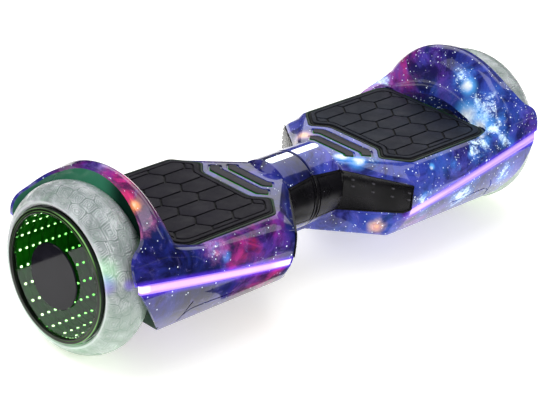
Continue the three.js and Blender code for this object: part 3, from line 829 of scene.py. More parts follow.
# Clouds of the printed star field: centre, reach, colour, share. Then the star clusters: centre, reach.
LEFT_STOPS = [(0.30, (0.004, 0.006, 0.07)), (0.45, (0.008, 0.016, 0.18)), (0.57, (0.03, 0.025, 0.30)),
              (0.72, (0.12, 0.03, 0.40))]
LEFT_CLOUDS = [
    ((-255, 20, 175), 44, VIOLET, 1.0), ((-258, 0, 176), 20, LILAC, 0.8),
    ((-255, 48, 165), 30, MAGENTA, 0.8), ((-250, -34, 164), 44, MAGENTA, 1.7),
    ((-254, -40, 162), 26, HOT, 1.5), ((-256, -52, 160), 12, ORANGE, 1.4),
    ((-257, -64, 151), 17, PINK, 1.6), ((-226, -50, 130), 26, MAGENTA, 1.0),
    ((-190, -70, 112), 30, VIOLET, 0.8), ((-183, -88, 106), 17, PINK, 0.9),
    ((-150, -88, 96), 36, MAGENTA, 1.3), ((-143, -90, 88), 22, ROSE, 1.3),
    ((-165, -90, 90), 15, MAGENTA, 1.0), ((-118, -84, 104), 26, VIOLET, 1.1),
    ((-100, -84, 88), 26, VIOLET, 1.0), ((-112, -70, 112), 30, MAGENTA, 0.7),
    ((-92, -60, 112), 20, VIOLET, 1.0), ((-120, -84, 48), 46, MAGENTA, 1.4),
    ((-96, -74, 52), 26, HOT, 0.6), ((-150, -84, 52), 20, PINK, 0.6), ((-60, 50, 105), 36, VIOLET, 0.9),
    ((-150, 92, 90), 46, MAGENTA, 1.0), ((-230, 80, 120), 40, CYAN, 0.7),
    ((-150, 60, 34), 60, MAGENTA, 0.8), ((-200, -30, 34), 50, VIOLET, 0.8),
]
LEFT_CLUSTERS = [((-184, -88, 106), 13), ((-176, -89, 99), 9), ((-240, 85, 110), 26), ((-120, 90, 80), 18)]
RIGHT_STOPS = [(0.30, (0.010, 0.020, 0.22)), (0.44, (0.025, 0.05, 0.38)), (0.58, (0.07, 0.075, 0.48)),
               (0.72, (0.18, 0.12, 0.56))]
RIGHT_CLOUDS = [
    ((232, 55, 138), 40, MAGENTA, 1.2), ((238, 20, 165), 36, VIOLET, 1.0),
    ((228, -8, 140), 26, VIOLET, 1.0), ((225, 75, 120), 34, MAGENTA, 0.9),
    ((150, 84, 112), 44, MAGENTA, 1.0), ((200, 84, 112), 36, PINK, 0.7), ((62, -40, 112), 19, CYAN, 1.0),
    ((42, 40, 114), 14, PEACH, 1.6), ((66, -64, 46), 13, PEACH, 1.6), ((96, -84, 58), 22, VIOLET, 1.3),
    ((104, -84, 46), 20, MAGENTA, 0.9), ((160, 92, 80), 44, VIOLET, 1.0),
    ((210, 92, 70), 30, MAGENTA, 1.0), ((150, -60, 34), 50, VIOLET, 0.9),
    ((278, -80, 112), 26, VIOLET, 1.0),
]
RIGHT_CLUSTERS = [((232, -33, 153), 17), ((224, -58, 124), 34), ((228, -78, 110), 24), ((200, -84, 106), 17),
                  ((150, -88, 100), 17), ((185, -88, 98), 14), ((56, -40, 113), 8), ((66, -46, 112), 8),
                  ((110, -88, 80), 16), ((170, -84, 58), 30), ((235, -80, 68), 26), ((220, 80, 110), 30),
                  ((120, 88, 90), 20)]
# Bright blurred stars: centre, reach, halo, heart.
LEFT_GLOWS = [((-256, -50, 160), 7, ORANGE, PEACH), ((-184, -88, 106), 6, PINK, (1.0, 0.75, 0.85))]
RIGHT_GLOWS = [
    ((47.4, -24.6, 114), 13, AZURE, WHITE), ((54, -38.3, 113.5), 13, AZURE, WHITE),
    ((55, 36, 114), 16, (0.45, 0.30, 0.55), PEACH), ((65, -64, 46), 7, (0.80, 0.35, 0.40), PEACH),
    ((222, -44, 120), 24, CYAN, WHITE), ((228, -34, 149), 13, CYAN, WHITE),
    ((222, -62, 115), 21, (0.10, 0.40, 0.95), WHITE), ((119, -83, 106), 5, (0.10, 0.40, 0.95), WHITE),
    ((206, -78, 109), 9, (0.10, 0.40, 0.95), WHITE),
]


def galaxy(name, stops, clouds, clusters, glows, crowd_share):
    """Glossy print of a star field; crowd_share is how thick the small stars are outside the clusters."""
    p = Paint(name, Roughness=0.32, Specular_IOR_Level=0.25)
    p.set(Coat_Weight=1.0, Coat_Roughness=0.025)
    drift = p.vector("SUBTRACT", p.noise(17, 6, 0.62, colour=True), (0.5, 0.5, 0.5))
    warp = p.vector("ADD", p.here, p.vector("SCALE", drift, 0.075))
    small = p.vector("ADD", p.here, p.vector("SCALE", drift, 0.022))
    ragged = p.noise(40, 8, 0.7, 0.5)
    colour = p.ramp(p.noise(11, 7, 0.62, 0.8), stops)
    for centre, reach, shade, share in clouds:
        mask = spot(p, centre, reach, warp if reach > 15 else small)
        blotch = p.span(ragged, 0.38, 0.60, 0.25 * share, share)
        colour = p.mix(p.math("MULTIPLY", mask, blotch, clamp=True), colour, shade)
    shade = p.ramp(p.noise(26, 8, 0.68, 1.0), [(0.40, (0.12, 0.12, 0.26)), (0.56, (1, 1, 1))])
    colour = p.mix(1.0, colour, shade, "MULTIPLY")
    wisps = p.span(p.noise(70, 8, 0.75, 0.9), 0.55, 0.75)
    colour = p.mix(p.all_of(wisps, 0.30), colour, (0.35, 0.30, 0.85))
    crowd = p.span(p.noise(13, 3), 0.50, 0.72, 0.0, crowd_share)
    for centre, reach in clusters:
        crowd = p.highest(crowd, spot(p, centre, reach, warp if reach > 12 else small))
    colour = p.mix(p.all_of(crowd, p.span(ragged, 0.42, 0.60, 0.1, 0.85)), colour, (0.06, 0.30, 0.95))
    foam = p.math("ADD", p.noise(60, 9, 0.80), p.all_of(crowd, 0.22))
    core = p.all_of(p.span(foam, 0.66, 0.82), p.span(crowd, 0.3, 0.8))
    colour = p.mix(core, colour, (0.66, 0.88, 1.0))
    points = p.highest(stars(p, 58, 0.10, 0.20), stars(p, 125, 0.15, p.span(crowd, 0, 1, 0.16, 0.7)))
    faint = p.highest(stars(p, 235, 0.24, p.span(crowd, 0, 0.7, crowd_share * 0.4, 0.8)),
                      stars(p, 400, 0.34, p.span(crowd, 0, 0.8, crowd_share * 0.4, 0.7)))
    points = p.highest(points, p.all_of(faint, 0.7))
    colour = p.mix(points, colour, (0.86, 0.93, 1.0))
    for centre, reach, halo, heart in glows:
        colour = p.mix(spot(p, centre, reach, p.here), colour, halo)
        colour = p.mix(p.all_of(spot(p, centre, reach * 0.6, small), 0.95), colour, heart)
    # Painted light: the small stars and the bright cores of the clusters glow.
    glow = p.mix(p.highest(points, core), NONE, (0.62, 0.80, 1.0))
    xyz = p.split()
    along = p.absolute(xyz[0])
    colour = p.mix(p.span_mm(along, 1.9, 1.6), colour, (0.006, 0.010, 0.09))
    # Painted light: a violet glow on the shell along the light strips stands for their spill light.
    off = p.absolute(over_strip(p, xyz, along))
    near = p.all_of(p.span_mm(off, 9.5, 4.4, smooth=True), p.span_mm(along, 80, 88),
                    p.span_mm(p.absolute(xyz[1]), 78, 84))
    glow = p.mix(near, glow, (0.13, 0.03, 1.0), "ADD")
    # Painted light: the wheel's green light is painted on the inside of the fender and on the wall of the
    # wheel well, as a teal colour and a glow.
    normal = p.split(p.coords["Normal"])
    outward = away_from_axle(p, xyz, normal)
    lining = p.all_of(p.math("LESS_THAN", outward, -0.03), p.math("GREATER_THAN", along, (WELL_U + 0.3) * MM))
    wall = p.all_of(p.math("GREATER_THAN", p.absolute(normal[0]), 0.9),
                    p.math("LESS_THAN", p.absolute(p.minus(along, WELL_U * MM)), 0.4 * MM))
    inside = p.highest(lining, wall)
    teal = p.tone(20, 4, (0.035, 0.15, 0.09), (0.05, 0.24, 0.14))
    lit = p.ramp(p.span_mm(xyz[2], 95, 165), [(0, (0.008, 0.03, 0.018)), (1, (0.03, 0.17, 0.10))])
    # Painted shade: the teal and its glow fade to dark towards the front.
    front = p.all_of(p.span_mm(xyz[1], 8, -20, smooth=True), 0.93)
    teal = p.mix(front, teal, (0.002, 0.008, 0.006))
    lit = p.mix(front, lit, (0.0, 0.001, 0.001))
    colour = p.mix(inside, colour, teal)
    glow = p.mix(inside, glow, lit)
    p.set(Base_Color=colour, Emission_Color=glow, Emission_Strength=0.6)
    p.bump(p.noise(900, 2, 0.5), 0.00002, 0.4)
    return p.material


def pad_rubber():
    p = Paint("pad_rubber", Roughness=0.6, IOR=1.45, Specular_IOR_Level=0.35)
    xyz = p.split()
    tone = p.tone(30, 4, (0.006, 0.0048, 0.010), (0.011, 0.009, 0.017))
    # Painted reflection: the right pad gets a cooler, bluer tone than the left one.
    right_pad_reflection = p.tone(22, 3, (0.008, 0.009, 0.017), (0.013, 0.017, 0.028))
    tone = p.mix(p.span_mm(xyz[0], -10, 10), tone, right_pad_reflection)
    # Painted shade: darker low down, in the grooves between the rim and the tiles.
    low = p.span_mm(xyz[2], 115.5, 114.7)
    p.set(Base_Color=p.mix(low, tone, (0.004, 0.004, 0.005)), Roughness=p.vary(60, 4, 0.5, 0.68))
    p.bump(p.noise(1400, 3, 0.6), 0.00012, 0.6)
    return p.material


def gasket_material():
    p = Paint("gasket", Roughness=0.5)
    p.set(Base_Color=p.tone(60, 4, (0.005, 0.006, 0.006), (0.012, 0.013, 0.014)))
    # Painted light: a patchy green glow on the rubber frame.
    p.set(Emission_Color=(0.01, 0.10, 0.02), Emission_Strength=p.span(p.noise(45, 3), 0.35, 0.7, 0.0, 0.35))
    p.bump(p.noise(1100, 3), 0.00008, 0.5)
    return p.material


def accent_material():
    """Dark bar that stands in a green-lit tray; the bar's lower sides take a painted dark green tint and a
    painted glow that fades upwards.
    """
    p = Paint("accent", Roughness=0.45, IOR=1.45)
    xyz = p.split()
    tone = p.tone(80, 4, (0.014, 0.012, 0.020), (0.024, 0.021, 0.031))
    # Painted light from the tray: the lower sides are tinted dark green and glow less and less upwards.
    low = p.span_mm(xyz[2], 114.2, 113.7)
    p.set(Base_Color=p.mix(low, tone, (0.003, 0.010, 0.002)))
    glow = p.ramp(p.span_mm(xyz[2], 112.0, 114.3), [
        (0, (0.03, 0.42, 0.005)), (0.4, (0.014, 0.18, 0.003)), (0.8, (0.001, 0.016, 0.0)), (1, NONE),
    ])
    p.set(Emission_Color=glow, Emission_Strength=p.vary(50, 3, 0.6, 1.2))
    p.bump(p.noise(1200, 3), 0.00008, 0.5)
    return p.material


def panel_material():
    """Satin black with a painted glint on the lip of each pip of the front panels."""
    p = Paint("panel_black", Roughness=0.3, IOR=1.5, Specular_IOR_Level=0.3)
    colour = p.ramp(p.noise(40, 5), [(0.3, (0.003, 0.003, 0.004)), (0.75, (0.010, 0.009, 0.012))])
    specks = stars(p, 110, 0.10, 0.06)
    xyz = p.split()
    flat = p.add("CombineXYZ")
    p.put(p.absolute(xyz[0]), flat.inputs[0])
    p.put(xyz[2], flat.inputs[2])
    # Painted glint: a lighter spot at the lip of each pip on the front panels.
    glint = 0.0
    for u, z in DIMPLES:
        away = p.vector("DISTANCE", flat.outputs[0], ((u + 1.0) * MM, 0, (z - 1.4) * MM), "Value")
        glint = p.highest(glint, p.span_mm(away, 1.3, 0.5))
    glint = p.all_of(glint, p.math("LESS_THAN", xyz[1], -20 * MM))
    colour = p.mix(p.all_of(specks, 0.4), colour, (0.4, 0.4, 0.45))
    p.set(Base_Color=p.mix(p.all_of(glint, 0.25), colour, (0.25, 0.24, 0.28)))
    p.set(Roughness=p.vary(25, 4, 0.18, 0.36))
    p.bump(p.noise(700, 3), 0.00006, 0.5)
    return p.material


def strip_material(name, side):
    """Lit guide: a pale core with violet edges, whitest at its ends on the left and softer on the right."""
    p = Paint(name, Roughness=0.25, Base_Color=(0.4, 0.25, 0.6))
    xyz = p.split()
    along = p.absolute(xyz[0])
    up = p.span_mm(over_strip(p, xyz, along), -STRIP_H / 2, STRIP_H / 2)
    if side < 0:
        colour = p.ramp(up, [
            (0.02, (0.07, 0.01, 0.62)), (0.14, (0.14, 0.03, 0.95)), (0.24, (0.34, 0.14, 1.0)),
            (0.33, (0.62, 0.36, 0.84)), (0.5, (0.68, 0.42, 0.78)), (0.80, (0.64, 0.38, 0.76)),
            (0.90, (0.26, 0.06, 0.90)), (0.98, (0.04, 0.005, 0.50)),
        ])
        core = p.all_of(p.span(up, 0.18, 0.32), p.span(up, 0.96, 0.84))
        ends = p.highest(p.span_mm(along, 268, 272, smooth=True), p.span_mm(along, 118, 96))
        colour = p.mix(p.all_of(ends, core), colour, (1.0, 0.96, 1.0))
    else:
        colour = p.ramp(up, [
            (0.02, (0.03, 0.015, 0.25)), (0.26, (0.10, 0.03, 0.52)), (0.42, (0.26, 0.10, 0.74)),
            (0.58, (0.56, 0.36, 0.82)), (0.78, (0.46, 0.28, 0.76)), (0.96, (0.06, 0.05, 0.36)),
        ])
        inner = p.all_of(p.span_mm(along, 150, 90, smooth=True), p.span(up, 0.2, 0.5))
        colour = p.mix(inner, colour, (0.78, 0.58, 0.92))
    power = 1.0 if side < 0 else 0.72
    p.set(Emission_Color=colour, Emission_Strength=p.vary(60, 3, 0.88 * power, 1.1 * power))
    return p.material


def lens_material():
    p = Paint("indicator", Roughness=0.18, Base_Color=(0.85, 0.92, 0.95))
    xyz = p.split()
    end = p.span_mm(p.absolute(xyz[0]), 14, 34)
    colour = p.mix(end, (1.0, 0.98, 1.0), (0.82, 1.0, 0.95))
    p.set(Emission_Color=colour, Emission_Strength=p.vary(120, 2, 0.85, 1.0), Coat_Weight=0.5)
    return p.material


def tyre_material(name):
    """Milky see-through rubber: painted shade darkens the moulded lines, and a painted green glow stands for
    the wheel light.
    """
    p = Paint(name, IOR=1.45)
    relief = p.add("Attribute", attribute_name="relief").outputs["Fac"]
    xyz = p.split()
    radius = from_axle(p)
    light = p.ramp(p.noise(26, 7, 0.66, 1.6), [
        (0.32, (0.16, 0.22, 0.19)), (0.46, (0.31, 0.35, 0.34)),
        (0.58, (0.43, 0.46, 0.47)), (0.72, (0.66, 0.69, 0.70)),
    ])
    # Painted shade: the moulded lines are darker.
    dark = p.ramp(p.noise(60, 5, 0.6, 0.8), [(0.3, (0.13, 0.18, 0.16)), (0.7, (0.27, 0.31, 0.30))])
    streak = p.span(p.noise(33, 4, 0.6, 1.2), 0.30, 0.58, 0.45, 1.0)
    colour = p.mix(p.all_of(p.span(relief, 0.1, 1.0), streak), light, dark)
    # Painted highlight: a pale ring on the bead next to the bezel.
    bead = p.span_mm(radius, 70.5, 69.2, smooth=True)
    colour = p.mix(bead, colour, (0.58, 0.60, 0.62))
    # Painted reflection: violet patches of the light strip's end on the tyre.
    strip_reflection = p.highest(spot(p, (-301, -66, 102), 13, p.here), spot(p, (-285, -80, 102), 8, p.here))
    p.set(Base_Color=p.mix(p.all_of(strip_reflection, 0.6), colour, (0.22, 0.12, 0.75)))
    p.set(Subsurface_Weight=0.35, Subsurface_Radius=(0.006, 0.010, 0.007), Subsurface_Scale=1.0)
    p.set(Coat_Weight=0.8, Coat_Roughness=0.10)
    # Painted light: a green glow in patches, near the rim, at the front and towards the bottom.
    patches = p.span(p.noise(19, 4, 0.6, 1.0), 0.54, 0.72, 0.0, 0.16, smooth=True)
    low = p.span_mm(xyz[2], 100, 20)
    rim = p.all_of(p.span_mm(radius, 76, 67), p.span(p.noise(26, 3), 0.4, 0.65, 0.2, 1.0), low)
    front = p.all_of(spot(p, (-300, -62, 112), 19, p.here), 0.62)
    amount = p.math("ADD", patches, p.all_of(rim, 0.30))
    amount = p.math("ADD", amount, p.math("ADD", front, p.all_of(low, 0.22)))
    green = p.mix(amount, NONE, (0.32, 0.95, 0.36))
    p.set(Emission_Color=green, Emission_Strength=0.62, Roughness=p.vary(40, 5, 0.20, 0.42))
    p.bump(p.noise(260, 5, 0.6, 0.6), 0.0003, 0.5)
    return p.material


def bezel_material():
    """Black ring with a thin painted glow line where it meets the tyre and a dim one inside."""
    p = Paint("bezel", Roughness=0.2, IOR=1.45)
    radius = from_axle(p)
    p.set(Base_Color=p.tone(30, 4, (0.003, 0.004, 0.003), (0.010, 0.012, 0.009)))
    along = p.absolute(p.split()[0])
    outer = p.all_of(p.span_mm(radius, 63.6, 63.9), p.span_mm(along, 303.9, 304.2),
                     p.span(p.noise(14, 3), 0.35, 0.62, 0.1, 1.0))
    inner = p.all_of(p.span_mm(p.absolute(p.minus(radius, 61.4 * MM)), 0.5, 0.1),
                     p.span(p.noise(17, 3), 0.4, 0.66, 0.05, 0.4))
    glow = p.mix(p.highest(outer, inner), NONE, (0.35, 0.80, 0.22))
    # Painted light: the faces inside the mirror chamber glow dim green.
    chamber = p.all_of(p.math("LESS_THAN", along, 300.2 * MM), p.math("LESS_THAN", radius, 60.4 * MM))
    glow = p.mix(chamber, glow, (0.003, 0.085, 0.001))
    p.set(Emission_Color=glow, Emission_Strength=0.7)
    return p.material


def simple(name, dark, light, rough, metallic, scale, grain=1e-4, **values):
    """A plain material with a mottled colour, uneven polish and a fine grain."""
    p = Paint(name, Metallic=metallic, IOR=1.5)
    p.set(Base_Color=p.tone(scale, 5, dark, light), Roughness=p.vary(scale * 2.3, 4, *rough))
    p.bump(p.noise(scale * 12, 3), grain, 0.5)
    return p.set(**values).material


def led_wall_material():
    p = Paint("led_wall", Roughness=0.4, Base_Color=(0.01, 0.10, 0.01))
    # Painted light: the carrier's wall glows green round the beads.
    colour = p.tone(90, 4, (0.0, 0.03, 0.0), (0.006, 0.20, 0.002))
    p.set(Emission_Color=colour, Emission_Strength=0.42)
    return p.material


def bead_material():
    p = Paint("led_bead", Roughness=0.3, Base_Color=(0.7, 1.0, 0.7))
    xyz, normal = p.split(), p.split(p.coords["Normal"])
    lit = p.span_mm(away_from_axle(p, xyz, normal), -0.72 * LED_R, -0.86 * LED_R)
    colour = p.tone(500, 2, (0.55, 1.0, 0.38), (0.80, 1.0, 0.62))
    p.set(Emission_Color=p.mix(lit, NONE, colour), Emission_Strength=6.5)
    return p.material


def mirror_material(name, dark, light):
    p = Paint(name, Metallic=1.0, Roughness=0.015)
    p.set(Base_Color=p.tone(40, 3, dark, light))
    return p


def one_way_material():
    """The inner face of the half-silvered glass: clear from outside, a mirror from inside."""
    p = mirror_material("glass_inner", (0.74, 0.88, 0.74), (0.80, 0.92, 0.80))
    clear = p.simple_shader("BsdfTransparent", (0.86, 0.88, 0.86))
    return p.surface(p.add("NewGeometry").outputs["Backfacing"], p.shader.outputs[0], clear.outputs[0])


def clear_glass_material():
    """The outer face of the glass: tinted, with a polished surface."""
    p = Paint("glass_outer", Roughness=0.03, Base_Color=(0.01, 0.012, 0.012))
    clear = p.simple_shader("BsdfTransparent", (0.9, 0.93, 0.9))
    gloss = p.simple_shader("BsdfGlossy", (0.95, 0.91, 1.0))
    p.put(p.vary(50, 3, 0.015, 0.04), gloss.inputs["Roughness"])
    fresnel = p.add("Fresnel")
    p.put(1.38, fresnel.inputs[0])
    return p.surface(fresnel.outputs[0], clear.outputs[0], gloss.outputs[0])


# ---- build -------------------------------------------------------------------------

LOOKS = {
    "left": galaxy("galaxy_left", LEFT_STOPS, LEFT_CLOUDS, LEFT_CLUSTERS, LEFT_GLOWS, 0.12),
    "right": galaxy("galaxy_right", RIGHT_STOPS, RIGHT_CLOUDS, RIGHT_CLUSTERS, RIGHT_GLOWS, 0.42),
}
PAD_LOOK, ACCENT_LOOK, PANEL_LOOK = pad_rubber(), accent_material(), panel_material()
STRIP_LOOKS = {"left": strip_material("strip_left", -1), "right": strip_material("strip_right", 1)}
LENS_LOOK, GASKET_LOOK, BEZEL_LOOK = lens_material(), gasket_material(), bezel_material()
TYRE_LOOK, LED_WALL, BEAD_LOOK = tyre_material("clear_tyre"), led_wall_material(), bead_material()
MIRROR_LOOK = mirror_material("reflector", (0.78, 0.90, 0.78), (0.84, 0.95, 0.84)).material
GLASS_LOOK = [clear_glass_material(), one_way_material()]
HUB_BLACK = simple("hub_black", (0.006, 0.006, 0.009), (0.012, 0.011, 0.016), (0.04, 0.08), 0, 60, 5e-6,
                   IOR=1.3)
GLOSS_BLACK = simple("gloss_black", (0.008, 0.008, 0.010), (0.018, 0.017, 0.02), (0.08, 0.14), 0, 60, 1e-5)
RUBBER = simple("cap_rubber", (0.02, 0.02, 0.022), (0.045, 0.045, 0.05), (0.6, 0.75), 0, 90)
STEEL = simple("steel", (0.32, 0.33, 0.35), (0.55, 0.56, 0.58), (0.22, 0.4), 1, 120)
ALUMINIUM = simple("cast_aluminium", (0.42, 0.43, 0.45), (0.62, 0.63, 0.65), (0.4, 0.6), 1, 70, 3e-4)
COPPER = simple("copper_winding", (0.42, 0.16, 0.07), (0.70, 0.32, 0.15), (0.25, 0.45), 1, 200, 4e-4)
BOARD = simple("solder_mask", (0.01, 0.10, 0.03), (0.03, 0.22, 0.08), (0.3, 0.5), 0, 180)
NYLON = simple("nylon", (0.62, 0.60, 0.53), (0.78, 0.76, 0.70), (0.4, 0.55), 0, 50)
WRAP = simple("battery_wrap", (0.02, 0.08, 0.25), (0.05, 0.16, 0.42), (0.25, 0.4), 0, 40)
CABLE = simple("cable_sleeve", (0.012, 0.012, 0.012), (0.03, 0.03, 0.03), (0.5, 0.7), 0, 300)

# Closed (u, radius) sections of the wheel's turned pieces.
BEZEL_RING = [(299.3, 59.4), (299.3, 64.3), (304.2, 64.3), (304.9, 64.1), (305.2, 63.7), (305.3, 61.9),
              (304.7, 61.5), (305.3, 61.1), (305.3, 60.0), (304.9, 59.5), (303.6, 59.4)]
LED_CARRIER = [(292.6, 60.3), (292.6, 61.2), (299.0, 61.2), (299.0, 60.3)]
MOTOR_COVER = [(253.4, 17.2), (253.4, 24), (254.2, 25), (254.2, 40), (253.4, 41), (253.4, 56), (254.6, 60),
               (256.7, 63.8), (256.7, 17.2)]
# Round pieces on the rear of the left half: name, middle, (y, radius) layers, body, slot, look, CAD node.
REAR_PIECES = [
    ("socket_shell", SOCKET, [
        (66, 7.6), (66.5, 8.2), (89.6, 8.2), (90.2, 7.8), (90.2, 6.4), (89.8, 6.2), (69, 6.2),
    ], "half_left", "black_trim", GLOSS_BLACK, "charge_port"),
    ("socket_plug", SOCKET, [
        (88.2, 5.2), (88.4, 5.8), (89.8, 5.9), (90.1, 5.6), (90.2, 4.4), (89.9, 4.1), (89.9, 0.6),
    ], "socket_cap", "pad_rubber", RUBBER, "charge_cap"),
    ("push_button", BUTTON, [
        (80, 5.9), (80.2, 6.2), (90.4, 6.2), (91.0, 5.8), (91.2, 5.0), (90.9, 4.7), (90.6, 0.6),
    ], "button", "steel_part", STEEL, "power_button"),
]


def build_half(name, side, shells, walls, panel_floor):
    """The visible pieces of one half of the board."""
    body = "half_" + name

    def on_side(obj):
        return mirror(obj) if side < 0 else obj

    for half in ("upper", "lower"):
        piece = on_side(duplicate(shells[half], f"{half}_shell_print_{name}"))
        if side < 0 and half == "lower":
            for middle, radius in ((SOCKET, SOCKET_HOLE), (BUTTON, BUTTON_HOLE)):
                boolean(piece, side_cut(circle(*middle, radius), 60, FAR))
        place(smooth(piece), body, "printed_shell", LOOKS[name], f"{half}_shell_{name}")
    for where, sign in (("front", -1), ("rear", 1)):
        panel = on_side(panel_piece(f"{where}_panel_trim_{name}", walls, sign, panel_floor))
        place(smooth(panel), body, "black_panel", PANEL_LOOK, f"{where}_panel_{name}")
        strip = smooth(strip_piece(f"{where}_strip_guide_{name}", sign, side), 50)
        place(strip, body, "light_strip", STRIP_LOOKS[name], f"{where}_light_strip_{name}")
        strip.visible_diffuse = False
    pieces = [pad_piece(f"hexagon_pad_{name}"), bar_piece(f"accent_outer_{name}", BAR_OUTER),
              bar_piece(f"accent_inner_{name}", BAR_INNER), lens_piece(f"lens_{name}"),
              gasket_piece(f"pad_gasket_{name}")]
    pad, outer, inner, lens, gasket = [smooth(on_side(piece), 28) for piece in pieces]
    place(pad, "pad_" + name, "pad_rubber", PAD_LOOK, f"foot_pad_{name}")
    place(gasket, body, "pad_rubber", GASKET_LOOK)
    place(smooth(screw_piece(f"screws_{name}", side)), body, "steel_part", STEEL)
    place(outer, body, "accent", ACCENT_LOOK, f"accent_bar_outer_{name}")
    place(inner, body, "accent", ACCENT_LOOK, f"accent_bar_inner_{name}")
    place(lens, body, "indicator", LENS_LOOK, f"indicator_lens_{name}")


def build_wheel(name, side):
    """The visible pieces of one wheel."""
    wheel = "wheel_" + name
    tyre = smooth(turned(f"tread_tyre_{name}", tyre_profile(), 900, side, tread), 60)
    place(tyre, wheel, "clear_tyre", TYRE_LOOK, f"tyre_{name}")
    bezel = smooth(turned(f"bezel_{name}", BEZEL_RING, 144, side))
    place(bezel, wheel, "black_trim", BEZEL_LOOK, f"bezel_ring_{name}")
    carrier = smooth(turned(f"led_carrier_{name}", LED_CARRIER, 96, side))
    place(carrier, wheel, "led_carrier", LED_WALL, f"led_ring_{name}")
    place(smooth(led_piece(f"led_beads_{name}", side)), wheel, "led_carrier", BEAD_LOOK)
    reflector = smooth(disc(f"reflector_{name}", 290.3, 292.3, 61.2, 96, side, 0.2))
    place(reflector, wheel, "reflector", MIRROR_LOOK, f"reflector_disc_{name}")
    glass = smooth(disc(f"glass_{name}", 300.1, 302.9, 59.1, 96, side, 0.3))
    place(glass, wheel, "dark_glass", GLASS_LOOK, f"mirror_glass_{name}")
    for polygon in glass.data.polygons:
        polygon.material_index = 1 if polygon.normal.x * side < -0.9 else 0
    cap = smooth(disc(f"cap_{name}", 303.2, FACE_U, 32, 96, side, 0.7))
    place(cap, wheel, "black_trim", HUB_BLACK, f"hub_cap_{name}")
    cover = smooth(turned(f"cover_{name}", MOTOR_COVER, 96, side), 20)
    place(cover, wheel, "hub_metal", ALUMINIUM, f"motor_cover_{name}")


made_shells, panel_walls, cut_floor = make_shells()
for name, side in SIDES:
    build_half(name, side, made_shells, panel_walls, cut_floor)
    build_wheel(name, side)
for name, (u, z), layers, body, slot, look, node in REAR_PIECES:
    piece = prism(name, [(y, circle(u, z, radius)) for y, radius in layers], "y")
    place(smooth(piece), body, slot, look, node)
discard(*made_shells.values(), panel_walls, cut_floor)

# The CAD nodes that stay as they are: looks by name, without the side.
CAD_LOOKS = {
    "frame_casting": ALUMINIUM, "axle_clamp": STEEL, "gyro_board": BOARD, "axle": STEEL, "stator": COPPER,
    "motor_housing": ALUMINIUM, "rotor_ring": STEEL, "wheel_bearing": STEEL,
    "pivot_tube": STEEL, "pivot_bushing": NYLON, "retaining_ring": STEEL, "wire_harness": CABLE,
    "battery_pack": WRAP, "control_board": BOARD, "speaker": GLOSS_BLACK,
}
for node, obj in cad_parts.items():
    look = CAD_LOOKS.get(node.removesuffix("_left").removesuffix("_right"))
    if look:
        obj.data.materials.clear()
        obj.data.materials.append(look)

# ---- stage, lights and camera ------------------------------------------------------

FLOOR_REACH = 9000
floor = new_object("floor", [(x * FLOOR_REACH, y * FLOOR_REACH, 0) for x, y in SQUARE], [(0, 1, 2, 3)])
paper = Paint("pale_floor", Roughness=0.9)
tone = paper.tone(3, 3, (0.90, 0.90, 0.90), (0.92, 0.92, 0.92))
warm = paper.tone(3, 3, (0.96, 0.93, 0.82), (0.98, 0.95, 0.84))
paper.set(Base_Color=tone, Emission_Color=warm, Emission_Strength=0.48)
floor.data.materials.append(paper.material)

world = bpy.data.worlds.new("studio")
bpy.context.scene.world = world
world.use_nodes = True
world.node_tree.nodes["Background"].inputs[0].default_value = (0.96, 0.97, 1.0, 1)
world.node_tree.nodes["Background"].inputs[1].default_value = 0.7
world.cycles_visibility.glossy = False


def soft_light(name, at, towards, size, power, gloss=False):
    """An area light: either it lights surfaces, or it only shows as a clean reflection in glossy ones."""
    light = bpy.data.lights.new(name, "AREA")
    light.shape = "RECTANGLE"
    light.size, light.size_y = size
    light.energy = power
    obj = link(name, light)
    obj.location = at
    obj.rotation_euler = (Vector(towards) - Vector(at)).to_track_quat("-Z", "Y").to_euler()
    obj.visible_camera = False
    obj.visible_glossy = gloss
    obj.visible_diffuse = not gloss
    return obj


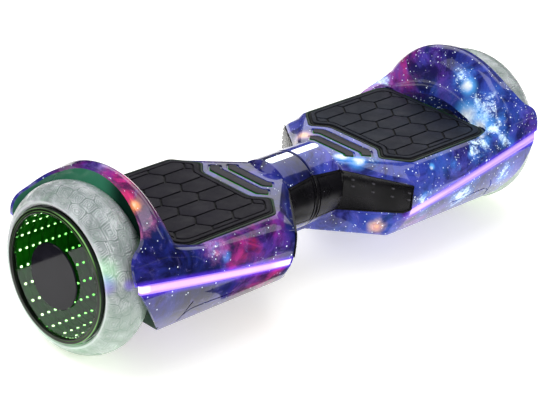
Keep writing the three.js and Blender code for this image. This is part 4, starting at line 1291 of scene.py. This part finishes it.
soft_light("key", (-1.1, 0.9, 1.7), (0, 0, 0.05), (1.4, 1.0), 16)
soft_light("fill", (-0.4, -1.9, 1.1), (0, 0, 0.08), (1.6, 0.7), 9)
soft_light("top", (0.5, 0.1, 1.8), NONE, (1.2, 1.2), 10)
soft_light("waist_card", (-0.56, 0.45, 0.70), (-0.04, 0, 0.117), (0.5, 0.42), 0.9, True)
soft_light("side_card", (0.78, 0.42, 0.80), (0, 0.2, 0.1), (1.45, 0.66), 4.6, True)
soft_light("fender_card", (0.03, -0.26, 0.73), (-0.257, -0.058, 0.154), (0.4, 0.36), 1.1, True)
soft_light("deck_card", (0.396, -0.525, 0.506), (-0.12, -0.085, 0.106), (0.09, 0.3), 0.16, True)
soft_light("tyre_card", (-0.75, -0.85, 0.7), (-0.28, -0.07, 0.1), (0.14, 0.8), 1.9, True)

# Black cards on the floor that only reflections see: (x, y) corners in millimetres.
FLAGS = [
    [(-1100, 146), (-380, 146), (-380, 900), (-1100, 900)],
    [(-500, -348), (10, -180), (10, -6000), (-4000, -6000), (-4000, -348)],
    [(10, -145), (184, -180), (500, -251), (4000, -251), (4000, -6000), (10, -6000)],
    [(-130, -144), (60, -144), (60, -70), (-130, -70)],
]
black = Paint("flag_black", Roughness=1.0)
black.set(Base_Color=black.tone(5, 2, (0.001, 0.001, 0.001), (0.002, 0.002, 0.002)))
for index, corners in enumerate(FLAGS):
    card = new_object(f"flag_{index}", [(x, y, 1) for x, y in corners], [tuple(range(len(corners)))])
    card.data.materials.append(black.material)
    card.visible_camera = card.visible_diffuse = card.visible_shadow = card.visible_transmission = False

AZIMUTH, ELEVATION, ROLL = math.radians(-47.3), math.radians(26.2), math.radians(4.8)
TARGET, DISTANCE = (-0.0254, 0, 0.067), 2.0494
level = math.cos(ELEVATION)
back = Vector((math.sin(AZIMUTH) * level, -math.cos(AZIMUTH) * level, math.sin(ELEVATION)))
right = Vector((math.cos(AZIMUTH), math.sin(AZIMUTH), 0))
up = back.cross(right)
turned_right = right * math.cos(ROLL) + up * math.sin(ROLL)
turned_up = up * math.cos(ROLL) - right * math.sin(ROLL)
camera_data = bpy.data.cameras.new("camera")
camera_data.sensor_fit = "HORIZONTAL"
camera_data.sensor_width = 36
camera_data.lens = 137.3
camera_data.clip_end = 50
camera = link("camera", camera_data)
camera.matrix_world = Matrix((turned_right, turned_up, back)).transposed().to_4x4()
camera.location = Vector(TARGET) + back * DISTANCE
scene = bpy.context.scene
scene.camera = camera
scene.view_settings.view_transform = "Standard"
scene.cycles.max_bounces = 32
scene.cycles.glossy_bounces = 24
scene.cycles.transparent_max_bounces = 24
scene.cycles.sample_clamp_indirect = 6.0
